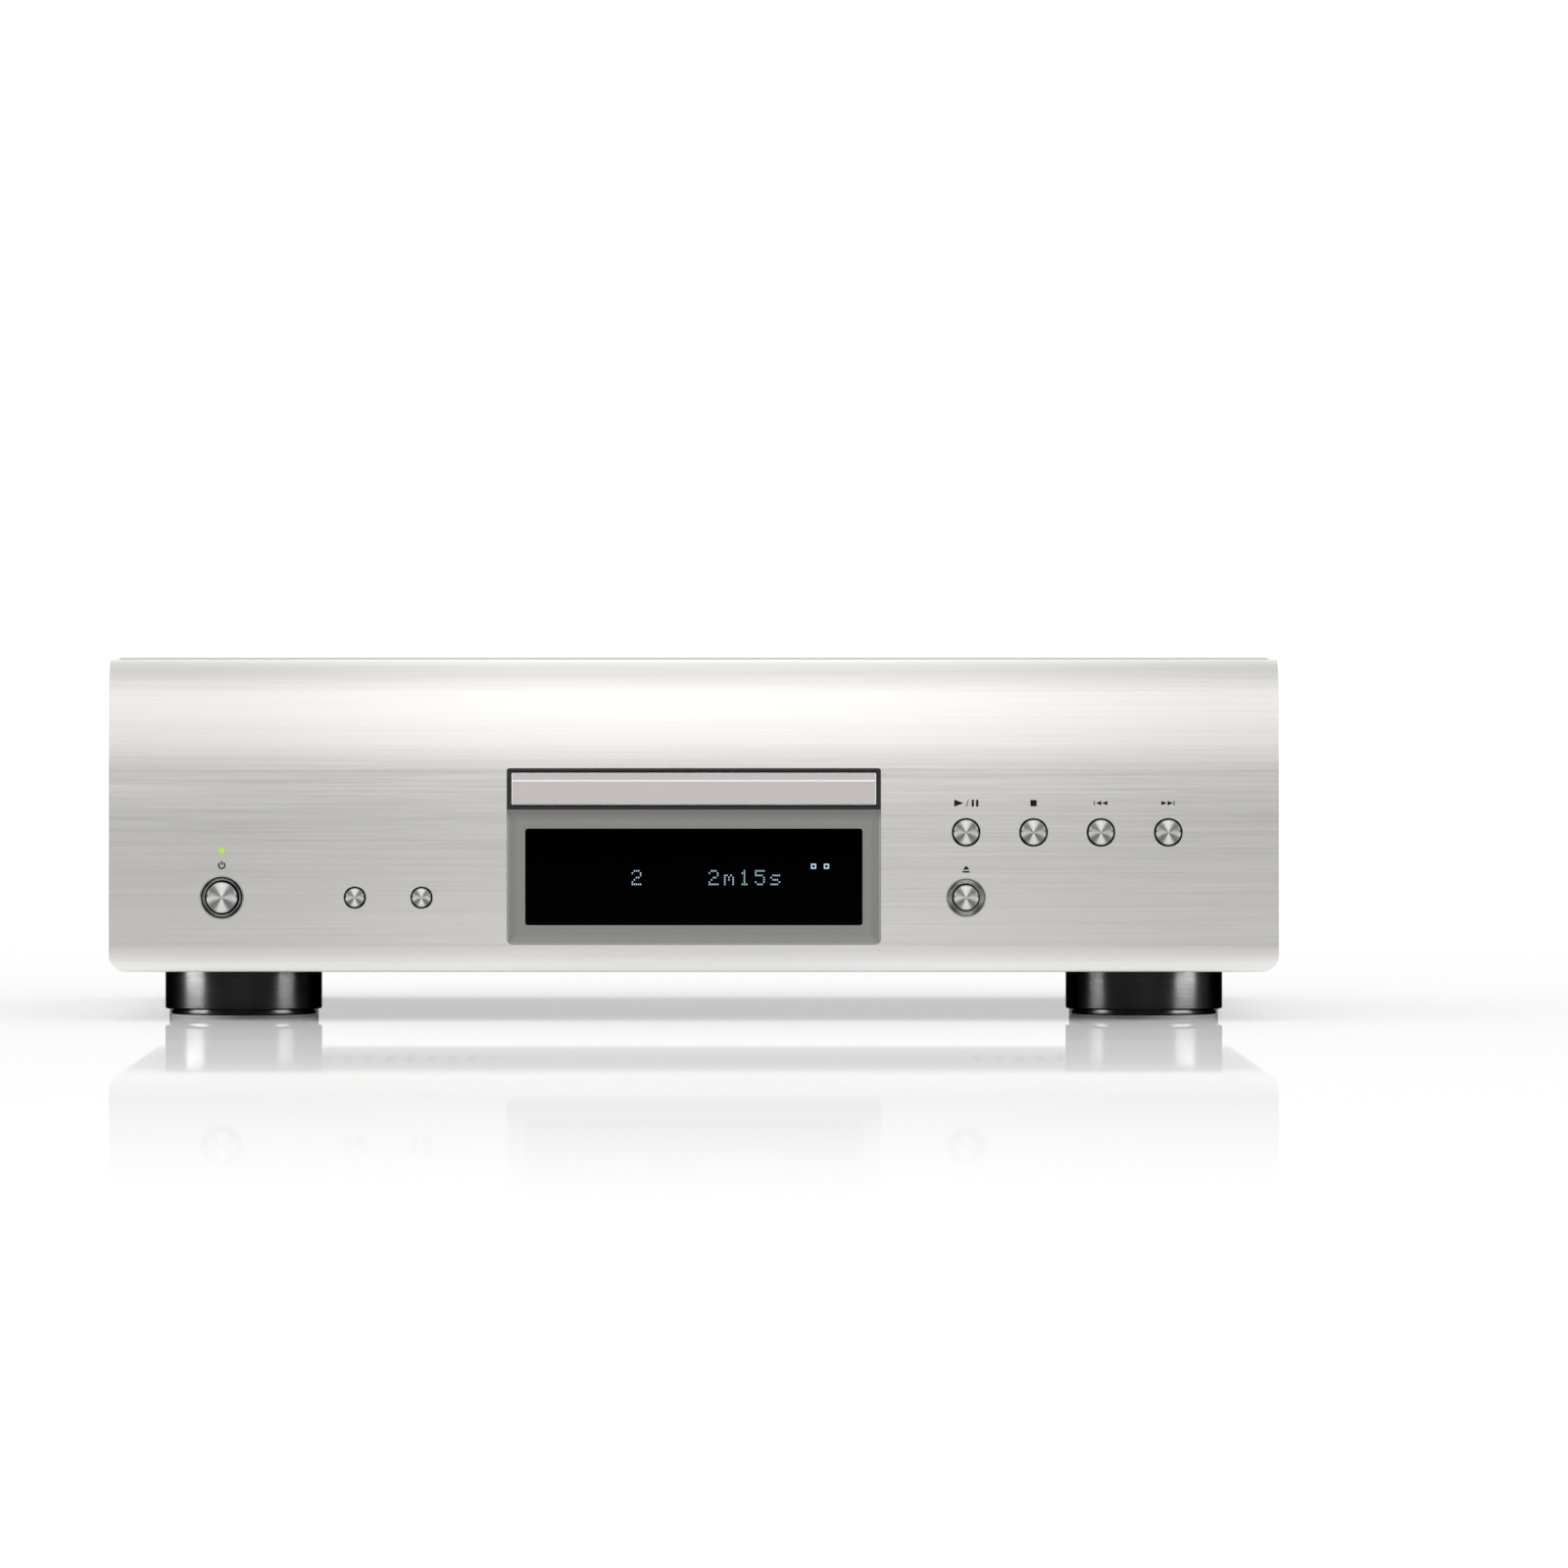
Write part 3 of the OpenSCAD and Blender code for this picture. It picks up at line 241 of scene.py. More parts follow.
class Finish:
    """A node material, built by expressions."""

    def __init__(self, name, tree=None):
        self.material = None
        if tree is None:
            self.material = bpy.data.materials.new(name)
            self.material.use_nodes = True
            tree = self.material.node_tree
        self.tree = tree
        self.tree.nodes.clear()

    def feed(self, socket, value):
        """Links a Value to the socket, or sets the socket to a number or colour."""
        if isinstance(value, Value):
            self.tree.links.new(value.socket, socket)
        elif socket.type == "RGBA" and len(value) == 3:
            socket.default_value = (*value, 1.0)
        else:
            socket.default_value = value

    def node(self, kind, settings=None, inputs=(), output=0):
        """Adds a node: its settings are set first, then its sockets, by place or by name."""
        made = self.tree.nodes.new("ShaderNode" + kind)
        for name, value in (settings or {}).items():
            if name == "stops":
                self.set_stops(made.color_ramp, value)
            else:
                setattr(made, name, value)
        pairs = inputs.items() if isinstance(inputs, dict) else enumerate(inputs)
        for key, value in pairs:
            self.feed(made.inputs[key], value)
        return Value(self, made.outputs[output]) if len(made.outputs) else None

    def set_stops(self, ramp, stops):
        while len(ramp.elements) < len(stops):
            ramp.elements.new(0.5)
        for element, (place, level) in zip(ramp.elements, stops):
            element.position = place
            element.color = (level, level, level, 1.0)

    def place(self, kind="Object"):
        """The coordinates of a point on the piece."""
        return self.node("TexCoord", output=kind)

    def stretched(self, scale, place=None):
        return self.node("Mapping", None, {"Vector": place or self.place(), "Scale": scale})

    def noise(self, scale=1.0, detail=2.0, vector=None, roughness=0.5):
        inputs = {"Vector": vector or self.place(), "Scale": scale, "Detail": detail, "Roughness": roughness}
        return self.node("TexNoise", None, inputs)

    def mix(self, factor, first, second):
        """first where factor is 0 and second where it is 1."""
        return self.node("Mix", {"data_type": "RGBA"}, {0: factor, 6: first, 7: second}, output=2)

    def multiplied(self, first, second, factor=1.0):
        """The two colours multiplied, by as much as factor says."""
        settings = {"data_type": "RGBA", "blend_type": "MULTIPLY"}
        return self.node("Mix", settings, {0: factor, 6: first, 7: second}, output=2)

    def noise_along(self, value, scale=1.0, detail=2.0):
        """Noise that changes along one number only."""
        return self.node("TexNoise", {"noise_dimensions": "1D"}, {"W": value, "Scale": scale, "Detail": detail})

    def bump(self, height, distance, strength=1.0):
        return self.node("Bump", None, {"Height": height, "Distance": distance, "Strength": strength})

    def parts(self, vector):
        made = self.tree.nodes.new("ShaderNodeSeparateXYZ")
        self.feed(made.inputs[0], vector)
        return [Value(self, socket) for socket in made.outputs]

    def radius(self, place=None):
        """The distance of a point from the piece's own Z axis."""
        flat = self.node("VectorMath", {"operation": "MULTIPLY"}, [place or self.place(), (1, 1, 0)])
        return self.node("VectorMath", {"operation": "LENGTH"}, [flat], output="Value")

    def surface(self, **sockets):
        """The Principled shader, with its sockets named in words joined by underscores."""
        titles = {name: name.replace("_", " ").title().replace("Ior", "IOR") for name in sockets}
        shader = self.node("BsdfPrincipled", None, {titles[name]: value for name, value in sockets.items()})
        self.node("OutputMaterial", None, {"Surface": shader})
        return self.material


def shade(colour, factor):
    """The colour made darker or lighter."""
    return tuple(min(1.0, part * factor) for part in colour)


def brushed_metal(name, colour, along, rough=0.30, anisotropy=0.6):
    """Metal brushed along one axis: along is the stretch of the grain on the piece's X, Y and Z.

    The piece lies with -X up and Z across. Painted light and shade set how pale the metal looks: paler towards
    the top, round the upper bend and most on the rolled lower edge, and darker towards the two ends.
    """
    f = Finish(name)
    hairs = f.noise(1.0, 3.0, f.stretched(along))
    lines = f.noise(1.0, 2.0, f.stretched(tuple(0.3 * part for part in along)))
    cloud = f.noise(9.0, 2.0)
    tone = hairs * 0.45 + lines * 0.55
    drop, _, side = f.parts(f.place())
    height = -drop
    # Painted light and shade on the face: paler towards the top, round the upper bend and most on the rolled
    # lower edge.
    lower_edge = 1 - height.between(0.0195, 0.0275)
    lower_band = 1 - height.between(0.0285, 0.0300)
    shoulder = height.between(0.076, 0.088) * (1 - height.between(0.100, 0.110))
    painted_shading = 0.86 + 0.13 * height.between(0.050, 0.098) + 0.45 * lower_edge - 0.06 * lower_band + 0.11 * shoulder
    # Painted shade: darker towards the two ends.
    painted_shading *= 1.045 - 0.11 * abs(side - 0.012).between(0.05, 0.21)
    base = f.mix(tone.between(0.25, 0.75), shade(colour, 0.95), shade(colour, 1.04))
    return f.surface(base_color=f.multiplied(base, painted_shading), metallic=1.0,
                     roughness=rough + (tone - 0.5) * 0.12 + (cloud - 0.5) * 0.03,
                     anisotropic=anisotropy, normal=f.bump(tone, 0.00001, 0.6))


def turned_metal(name, colour, rough=0.22, anisotropy=0.85, glint_sectors=None, dish_shade=None, rim=0):
    """Metal turned on a lathe round the piece's own Z axis.

    Glint sectors are (place, brightness) stops round the turn that paint highlights on the face, dish shade is
    the two radii that painted shade fades between, and rim is the radius of a thin line of painted shade on a
    dished piece.
    """
    f = Finish(name)
    pitch = 0.12 * MM
    radius = f.radius()
    grooves = f.noise_along(radius / pitch)
    base = f.mix(grooves.between(0.3, 0.7), shade(colour, 0.94), shade(colour, 1.03))
    # Painted highlights: brightness stops round the turn, streaked by fine rays.
    if glint_sectors:
        turn = f.node("TexGradient", {"gradient_type": "RADIAL"}, [f.place()])
        rays = f.noise_along(turn, 46.0, 3.0)
        light = f.node("ValToRGB", {"stops": glint_sectors}, [turn]) * (0.86 + 0.28 * rays)
        base = f.multiplied(base, light)
    # Painted shade: dark in the hollow next to the cap, fading out outwards, with a thin line of painted shade
    # near the outer edge.
    if dish_shade:
        base = f.mix(radius.between(*dish_shade), (0.004, 0.004, 0.004), base)
        line = abs(radius - rim).between(0.10 * MM, 0.22 * MM)
        base = f.mix(line, shade(colour, 0.2), base)
    return f.surface(base_color=base, metallic=1.0, roughness=rough + (grooves - 0.5) * 0.10,
                     anisotropic=anisotropy, anisotropic_rotation=0.25, normal=f.bump(grooves, 0.000004, 0.5))


def blasted_metal(name, colour, half_width, rough=0.36):
    """Bead-blasted aluminium with a fine even grain, with painted highlights in white on its sloping edges and
    its two ends.
    """
    f = Finish(name)
    across = f.parts(f.place())[0]
    slope = abs(f.parts(f.place("Normal"))[2])
    edges = slope.between(0.3, 0.5) * (1 - slope.between(0.85, 0.95))
    # Painted highlight: white on the sloping edges and the two ends.
    edge_highlight = edges.most((abs(across) - half_width).above(0.0))
    grain = f.noise(5200.0, 2.0)
    cloud = f.noise(14.0, 2.0)
    base = f.mix(grain.between(0.3, 0.7), shade(colour, 0.95), shade(colour, 1.03))
    return f.surface(base_color=f.mix(edge_highlight, base, (1.0, 1.0, 1.0)), metallic=1.0,
                     roughness=rough + (grain - 0.5) * 0.10 + (cloud - 0.5) * 0.02,
                     normal=f.bump(grain, 0.00002, 0.35))


def painted_metal(name, colour, rough=0.38, flake=0.55, scale=1500.0, relief=0.00004, metallic=0.35,
                  shadow=None, lip=None):
    """Baked paint over sheet metal: fine orange peel, with a little metal flake.

    Shadow is the two heights that a band of painted shadow fades between, and lip is where a pale edge of
    painted
    highlight starts: its distance from the middle plane and its height. A piece has both or neither.
    """
    f = Finish(name)
    peel = f.noise(scale, 2.0)
    sparkle = f.noise(scale * 3.7, 1.0)
    dust = f.noise(11.0, 3.0)
    base = f.mix(sparkle.between(0.35, 0.75) * flake, shade(colour, 0.93), shade(colour, 1.14))
    if shadow:
        across, _, height = f.parts(f.place())
        # Painted highlight on a pale edge at the sides and bottom, and painted shadow in a darker band along the
        # top.
        edge = (abs(across) - lip[0]).most(lip[1] - height).above(0.0)
        base = f.mix(edge, base, shade(colour, 1.45))
        base = f.mix(height.between(*shadow), base, shade(colour, 0.72))
    return f.surface(base_color=base, metallic=metallic,
                     roughness=rough + (dust - 0.5) * 0.08 + (sparkle - 0.5) * 0.10,
                     normal=f.bump(peel, relief, 0.5))


def moulded_plastic(name, colour, rough=0.42, scale=2600.0, relief=0.00003, specular=0.5):
    """Moulded plastic with a fine spark-eroded grain."""
    f = Finish(name)
    grain = f.noise(scale, 2.0)
    flow = f.noise(26.0, 2.0)
    base = f.mix(flow.between(0.3, 0.7), shade(colour, 0.90), shade(colour, 1.10))
    return f.surface(base_color=base, roughness=rough + (grain - 0.5) * 0.14 + (flow - 0.5) * 0.05,
                     specular_ior_level=specular, normal=f.bump(grain, relief, 0.5))


def zinc_sheet(name, colour):
    """Zinc-plated sheet: rolled along Y, with pale spangle and faint yellow patches."""
    f = Finish(name)
    spangle = f.node("TexVoronoi", {"feature": "F1"}, {"Vector": f.place(), "Scale": 160.0}, output="Color")
    rolled = f.noise(1.0, 2.0, f.stretched((1800, 30, 1800)))
    patch = f.noise(24.0, 2.0)
    yellow = (colour[0] * 1.02, colour[1], colour[2] * 0.93)
    warm = f.mix(patch.between(0.35, 0.65), shade(colour, 0.94), yellow)
    return f.surface(base_color=f.multiplied(warm, spangle, 0.07), metallic=1.0,
                     roughness=0.33 + (rolled - 0.5) * 0.12 + (patch - 0.5) * 0.08,
                     normal=f.bump(rolled, 0.000012, 0.5))


def polished_metal(name, colour, rough=0.12):
    """Ground and polished metal with faint handling marks."""
    f = Finish(name)
    marks = f.noise(240.0, 4.0)
    base = f.mix(marks.between(0.35, 0.7), shade(colour, 0.95), shade(colour, 1.02))
    return f.surface(base_color=base, metallic=1.0, roughness=rough + (marks - 0.5) * 0.08)


def board_green(name, colour):
    """Solder mask over raised copper tracks."""
    f = Finish(name)
    black, white = (0, 0, 0), (1, 1, 1)
    bricks = {"Vector": f.stretched((310, 190, 240)), "Scale": 1.0, "Mortar Size": 0.055,
              "Color1": black, "Color2": black, "Mortar": white}
    tracks = f.node("TexBrick", {"offset": 0.37}, bricks)
    weave = f.noise(900.0, 1.0)
    base = f.mix(tracks, colour, shade(colour, 1.9))
    return f.surface(base_color=base, roughness=0.34 + (weave - 0.5) * 0.12, coat_weight=0.4,
                     coat_roughness=0.1, normal=f.bump(tracks, 0.00005, 0.6))


def rubber(name, colour):
    """Dense rubber with a dusty surface."""
    f = Finish(name)
    pores = f.noise(1900.0, 3.0)
    dust = f.noise(60.0, 3.0)
    base = f.mix(dust.between(0.45, 0.8), colour, shade(colour, 1.7))
    return f.surface(base_color=base, roughness=0.72 + (pores - 0.5) * 0.2,
                     normal=f.bump(pores, 0.00006, 0.6))


def glossy(name, colour, rough=0.06, specular=0.35):
    """Polished plastic or glass over a dark ground, with faint wipe marks."""
    f = Finish(name)
    wipe = f.noise(1.0, 3.0, f.stretched((18, 60, 60)))
    base = f.mix(wipe.between(0.4, 0.6), colour, shade(colour, 1.25))
    return f.surface(base_color=base, roughness=rough + (wipe - 0.5) * 0.03,
                     specular_ior_level=specular)


def glowing(name, colour, strength):
    """A lit surface with a slightly uneven phosphor."""
    f = Finish(name)
    phosphor = f.noise(2600.0, 1.0)
    lit = f.mix(phosphor.between(0.2, 0.8), shade(colour, 0.88), colour)
    return f.surface(base_color=shade(colour, 0.3), roughness=0.5, emission_color=lit,
                     emission_strength=strength)


def laminations(name, colour):
    """Stacked core plates, varnished."""
    f = Finish(name)
    plate = 0.5 * MM
    plates = (f.parts(f.place())[0] * (math.tau / plate)).sine()
    patch = f.noise(70.0, 3.0)
    base = f.mix(patch.between(0.35, 0.7), shade(colour, 0.7), shade(colour, 1.15))
    return f.surface(base_color=base, metallic=0.6, roughness=0.42 + (patch - 0.5) * 0.2,
                     normal=f.bump(plates, 0.00008, 0.5))


# ---------- geometry ----------


def piece(name, mesh, finish, body, at=None, replaces=(), angle=35):
    """Puts a mesh in the scene as a piece that rides on a CAD body."""
    made = bpy.data.objects.new(name, mesh)
    bpy.context.scene.collection.objects.link(made)
    for polygon in mesh.polygons:
        polygon.use_smooth = True
    mesh.set_sharp_from_angle(angle=math.radians(angle))
    mesh.materials.clear()
    mesh.materials.append(finish)
    made.matrix_world = at or Matrix.Identity(4)
    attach(made, body)
    if replaces:
        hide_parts(*replaces)
    return made


def mesh_from(name, build):
    """A mesh made by build(bm)."""
    bm = bmesh.new()
    build(bm)
    bmesh.ops.recalc_face_normals(bm, faces=bm.faces)
    mesh = bpy.data.meshes.new(name)
    bm.to_mesh(mesh)
    bm.free()
    return mesh


def add_lathe(bm, profile, segments=96):
    """Turns (radius, height) points about Z. A point on the axis becomes one vertex."""
    rings = []
    for radius, height in profile:
        if radius < 1e-7:
            rings.append([bm.verts.new((0, 0, height))])
            continue
        turn = [2 * math.pi * i / segments for i in range(segments)]
        rings.append([bm.verts.new((radius * math.cos(a), radius * math.sin(a), height)) for a in turn])
    for low, high in zip(rings, rings[1:]):
        for i in range(segments):
            j = i + 1
            corners = [low[i % len(low)], low[j % len(low)], high[j % len(high)], high[i % len(high)]]
            corners = list(dict.fromkeys(corners))
            if len(corners) > 2:
                bm.faces.new(corners)


def arc(centre, radius, start, end, steps=8):
    """Points on an arc, between two angles in degrees."""
    turns = [math.radians(start + (end - start) * i / steps) for i in range(steps + 1)]
    across, up = centre
    return [(across + radius * math.cos(a), up + radius * math.sin(a)) for a in turns]


def add_box(bm, low, high, bevel=0.0):
    """A box between two corners, with its edges rounded off."""
    made = bmesh.ops.create_cube(bm, size=1.0)
    size, middle = Vector(high) - Vector(low), (Vector(high) + Vector(low)) / 2
    for vert in made["verts"]:
        vert.co = Vector(a * b for a, b in zip(vert.co, size)) + middle
    if bevel:
        edges = list({edge for vert in made["verts"] for edge in vert.link_edges})
        bmesh.ops.bevel(bm, geom=edges, offset=bevel, segments=2, affect="EDGES", profile=0.7)


def add_plate(bm, outline, thickness):
    """A flat plate from an (x, z) outline, with its back on the panel and its face towards -Y."""
    back = [bm.verts.new((x, FACE_Y, z)) for x, z in outline]
    front = [bm.verts.new((x, FACE_Y - thickness, z)) for x, z in outline]
    bm.faces.new(front)
    bm.faces.new(reversed(back))
    for i in range(len(outline)):
        j = (i + 1) % len(outline)
        bm.faces.new([front[j], front[i], back[i], back[j]])


def dress(node, finish):
    """Gives a CAD node its finish."""
    mesh = frame["nodes"][node].data
    mesh.materials.clear()
    mesh.materials.append(finish)


def middle(node):
    """The middle of a CAD node's box."""
    low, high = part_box(node)
    return (low + high) / 2


# ---------- operators ----------


class Maker:
    """What every operator here shares: it runs make() and reports that it has."""

    bl_options = {"REGISTER", "UNDO"}

    def execute(self, context):
        self.make(context.scene)
        return {"FINISHED"}


class PLAYER_OT_front_panel(Maker, bpy.types.Operator):
    """Give the front panel its brushed finish, grained along its width"""

    bl_idname = "player.front_panel"
    bl_label = "Front panel"

    def make(self, scene):
        turn = Matrix.Rotation(math.pi / 2, 4, "Y")
        mesh = frame["nodes"]["front_panel"].data.copy()
        mesh.transform(turn.inverted())
        grain = (2600, 2600, 26)
        # The brushed finish carries painted light and shade over the face.
        metal = brushed_metal("panel_brushed", scene.player_cabinet.panel, grain, rough=0.15, anisotropy=0.45)
        piece("front_panel_shell", mesh, metal, "cabinet", turn, ["front_panel"], angle=25)


class PLAYER_OT_cabinet(Maker, bpy.types.Operator):
    """Finish the cover, chassis, rear panel, subframe and screws"""

    bl_idname = "player.cabinet"
    bl_label = "Cabinet"

    def make(self, scene):
        colours = scene.player_cabinet
        dress("top_cover", painted_metal("cover_silver", colours.cover, rough=0.34, metallic=0.55))
        rear = painted_metal("rear_dark", colours.rear, rough=0.48, relief=0.00007, metallic=0.0)
        dress("rear_panel", rear)
        zinc = zinc_sheet("zinc", colours.zinc)
        for node in ("bottom_chassis", "front_subframe", "loader_bracket"):
            dress(node, zinc)
        dress("cover_screws", painted_metal("screw_black", (0.02, 0.02, 0.021), rough=0.35, metallic=0.4))
        dress("chassis_screws", polished_metal("screw_zinc", (0.62, 0.62, 0.60), 0.25))


class PLAYER_OT_feet(Maker, bpy.types.Operator):
    """Finish the four turned feet and their pads"""

    bl_idname = "player.feet"
    bl_label = "Feet"

    def make(self, scene):
        for node in ("foot_front_left", "foot_front_right", "foot_rear_left", "foot_rear_right"):
            low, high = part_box(node)
            profile = self.profile((high.x - low.x) / 2, high.z)
            mesh = mesh_from(node + "_turned", lambda bm: add_lathe(bm, profile, 128))
            place = Matrix.Translation(((low.x + high.x) / 2, (low.y + high.y) / 2, 0))
            metal = foot_black(node + "_black", scene.player_cabinet.foot)
            piece(node + "_turned", mesh, metal, "cabinet", place, [node])
        dress("foot_pads", rubber("pad_rubber", (0.02, 0.02, 0.02)))

    def profile(self, radius, height):
        """A drum over a narrower disc, with a groove between them and a hole for the screw."""
        screw_head, screw, seat = 6 * MM, 2.1 * MM, 12 * MM
        lip, disc = 3.2 * MM, 2.6 * MM
        edge, neck = radius - 2.2 * MM, radius - 3.0 * MM
        points = [(screw_head, seat), (screw_head, 1.3 * MM)]
        points += arc((edge - 0.5 * MM, 1.7 * MM), 0.5 * MM, -90, 0, 4)
        points += [(edge, disc), (neck, disc + 0.1 * MM), (neck, lip)]
        points += arc((radius - 0.7 * MM, lip + 0.7 * MM), 0.7 * MM, -90, 0, 6)
        return points + [(radius, height), (screw, height), (screw, seat), (screw_head, seat)]


def foot_black(name, colour):
    """Black anodised metal, turned round the foot's own axis."""
    f = Finish(name)
    height = f.parts(f.place())[2]
    rings = f.noise_along((height + f.radius()) * 5200.0)
    streak = f.noise(1.0, 2.0, f.stretched((160, 160, 3800)))
    tone = rings * 0.6 + streak * 0.4
    base = f.mix(tone.between(0.3, 0.7), shade(colour, 0.75), shade(colour, 1.5))
    return f.surface(base_color=base, metallic=1.0, roughness=0.24 + (tone - 0.5) * 0.12, anisotropic=0.5,
                     anisotropic_rotation=0.25, specular_tint=(0.02, 0.02, 0.02, 1.0),
                     normal=f.bump(tone, 0.000008, 0.6))


class PLAYER_OT_buttons(Maker, bpy.types.Operator):
    """Turn the caps of the eight buttons and the rings of two, and finish the collars"""

    bl_idname = "player.buttons"
    bl_label = "Buttons"

    def make(self, scene):
        controls = scene.player_controls
        # Painted highlights round each cap's face: bright and dark sectors by angle.
        bottom_left = [(0.0, 1.0), (0.04, 0.85), (0.08, 0.34), (0.12, 0.22), (0.16, 0.34), (0.20, 0.82)]
        bottom_right = [(0.25, 0.90), (0.30, 0.82), (0.34, 0.32), (0.38, 0.22), (0.42, 0.34), (0.46, 0.8)]
        top_right = [(0.50, 1.0), (0.54, 0.72), (0.60, 0.30), (0.65, 0.36), (0.69, 0.85)]
        top_left = [(0.75, 1.0), (0.81, 0.90), (0.85, 0.38), (0.90, 0.30), (0.96, 0.80), (1.0, 1.0)]
        glints = bottom_left + bottom_right + top_right + top_left
        metal = turned_metal("cap_turned", controls.metal, glint_sectors=glints)
        for name in BUTTONS:
            self.turn_cap(name + "_button", name, controls, metal)
        for index, name in enumerate(RINGED):
            replaces = ["button_rings"] if index == 0 else []
            self.turn_ring(name, controls, replaces)
        collar = moulded_plastic("collar_black", (0.001, 0.001, 0.001), rough=0.4, specular=0.05)
        dress("button_collars", collar)

    def cap_radius(self, name, controls):
        small = controls.small_cap
        sizes = {"power": controls.power_cap, "layer": small, "direct": small}
        return sizes.get(name, controls.cap) / 2

    def turn_cap(self, node, name, controls, metal):
        """A slightly hollow face with a bevel, a flange behind the panel and a stem to the switch."""
        low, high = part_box(node)
        radius, flange = self.cap_radius(name, controls), (high.x - low.x) / 2
        top, back = FACE_Y - low.y, FACE_Y - high.y
        flange_top, flange_back, stem = -7.9 * MM, -8.9 * MM, 2.25 * MM
        bevel = controls.bevel * (1.0 if radius > 4 * MM else 0.8)
        soft = 0.14 * MM
        profile = [(0, top - 0.05 * MM), (radius * 0.5, top - 0.025 * MM), (radius - bevel - 0.1 * MM, top)]
        profile += [(radius - bevel, top - 0.012 * MM), (radius - bevel * 0.4, top - bevel * 0.55)]
        profile += arc((radius - soft, top - bevel - soft), soft, 40, 0, 4)
        profile += [(radius, flange_top), (flange, flange_top), (flange, flange_back), (stem, flange_back)]
        profile += [(stem, back), (0, back)]
        mesh = mesh_from(node + "_cap", lambda bm: add_lathe(bm, profile, 128))
        centre = middle(node)
        place = Matrix.Translation((centre.x, FACE_Y, centre.z)) @ FACING
        piece(node + "_cap", mesh, metal, node, place, [node], angle=22)

    def turn_ring(self, name, controls, replaces):
        """A ring whose face is a hollow that falls from a flat rim to the cap."""
        outer = {"power": 8.0 * MM, "eject": 7.2 * MM}[name]
        inner = {"power": 6.6 * MM, "eject": 5.35 * MM}[name]
        # Radii between which painted shade fades out across each ring's hollow.
        dish_shade = {"power": (6.35 * MM, 7.25 * MM), "eject": (5.1 * MM, 6.1 * MM)}[name]
        metal = turned_metal(name + "_ring_turned", shade(controls.metal, 0.88), rough=0.2, anisotropy=0.5,
                             dish_shade=dish_shade, rim=outer - 0.33 * MM)
        soft, depth, back = 0.12 * MM, 1.35 * MM, -2.3 * MM
        flat = outer - 0.3 * MM
        profile = [(outer, back), (outer, -soft)]
        profile += arc((outer - soft, -soft), soft, 0, 90, 4)
        profile += [(flat, 0.0)]
        for part in (0.1, 0.2, 0.35, 0.5, 0.65, 0.8, 0.9, 1.0):
            profile += [(flat - (flat - inner) * part, -depth * math.sin(part * math.pi / 2))]
        profile += [(inner, back), (outer, back)]
        mesh = mesh_from(name + "_ring", lambda bm: add_lathe(bm, profile, 128))
        centre = middle(name + "_button")
        place = Matrix.Translation((centre.x, FACE_Y, centre.z)) @ FACING
        piece(name + "_ring", mesh, metal, "cabinet", place, replaces, angle=22)


class PLAYER_OT_symbols(Maker, bpy.types.Operator):
    """Print the plain play, stop, skip, eject and power symbols"""

    bl_idname = "player.symbols"
    bl_label = "Symbols"
    thickness = 0.02 * MM

    def make(self, scene):
        controls = scene.player_controls
        ink = moulded_plastic("ink_black", controls.ink, rough=0.6, relief=0.0, specular=0.1)
        lift = controls.symbol_lift
        drawings = {"play": self.play, "stop": self.stop, "previous": self.previous, "next": self.next,
                    "eject": self.eject, "power": self.power}
        lifts = {"eject": lift - 0.35 * MM, "power": lift + 1.1 * MM}
        for name, draw in drawings.items():
            centre = middle(name + "_button")
            at = (centre.x, centre.z + lifts.get(name, lift))
            mesh = mesh_from(name + "_symbol", lambda bm: draw(bm, at))
            piece(name + "_symbol", mesh, ink, "cabinet")

    def shape(self, bm, at, points):
        """A plate whose outline is in millimetres from the symbol's centre."""
        add_plate(bm, [(at[0] + x * MM, at[1] + z * MM) for x, z in points], self.thickness)

    def bar(self, bm, at, x, width, height):
        """An upright bar from x."""
        half = height / 2
        self.shape(bm, at, [(x, -half), (x + width, -half), (x + width, half), (x, half)])

    def arrow(self, bm, at, x, width, height):
        """A triangle from x, pointing the way of width."""
        self.shape(bm, at, [(x, -height / 2), (x + width, 0), (x, height / 2)])

    def play(self, bm, at):
        self.arrow(bm, at, -4.42, 3.4, 2.7)
        self.shape(bm, at, [(-0.1, -1.35), (0.2, -1.35), (1.0, 1.35), (0.7, 1.35)])
        self.bar(bm, at, 2.05, 0.87, 2.6)
        self.bar(bm, at, 3.68, 0.87, 2.6)

    def stop(self, bm, at):
        self.bar(bm, at, -1.18, 2.36, 2.36)

    def previous(self, bm, at):
        self.bar(bm, at, -2.65, 0.36, 1.7)
        self.arrow(bm, at, 0.15, -2.05, 1.7)
        self.arrow(bm, at, 2.4, -2.05, 1.7)

    def next(self, bm, at):
        self.arrow(bm, at, -2.6, 2.05, 1.7)
        self.arrow(bm, at, -0.3, 2.05, 1.7)
        self.bar(bm, at, 1.95, 0.36, 1.7)

    def eject(self, bm, at):
        self.shape(bm, at, [(-1.3, -0.15), (1.3, -0.15), (0, 1.35)])
        self.shape(bm, at, [(-1.3, -1.25), (1.3, -1.25), (1.3, -0.6), (-1.3, -0.6)])

    def power(self, bm, at):
        outer, inner = 1.42, 0.88
        outside, inside = arc((0, 0), outer, 120, 420, 28), arc((0, 0), inner, 120, 420, 28)
        for i in range(28):
            self.shape(bm, at, [outside[i], outside[i + 1], inside[i + 1], inside[i]])
        self.shape(bm, at, [(-0.25, 0.1), (0.25, 0.1), (0.25, 1.75), (-0.25, 1.75)])


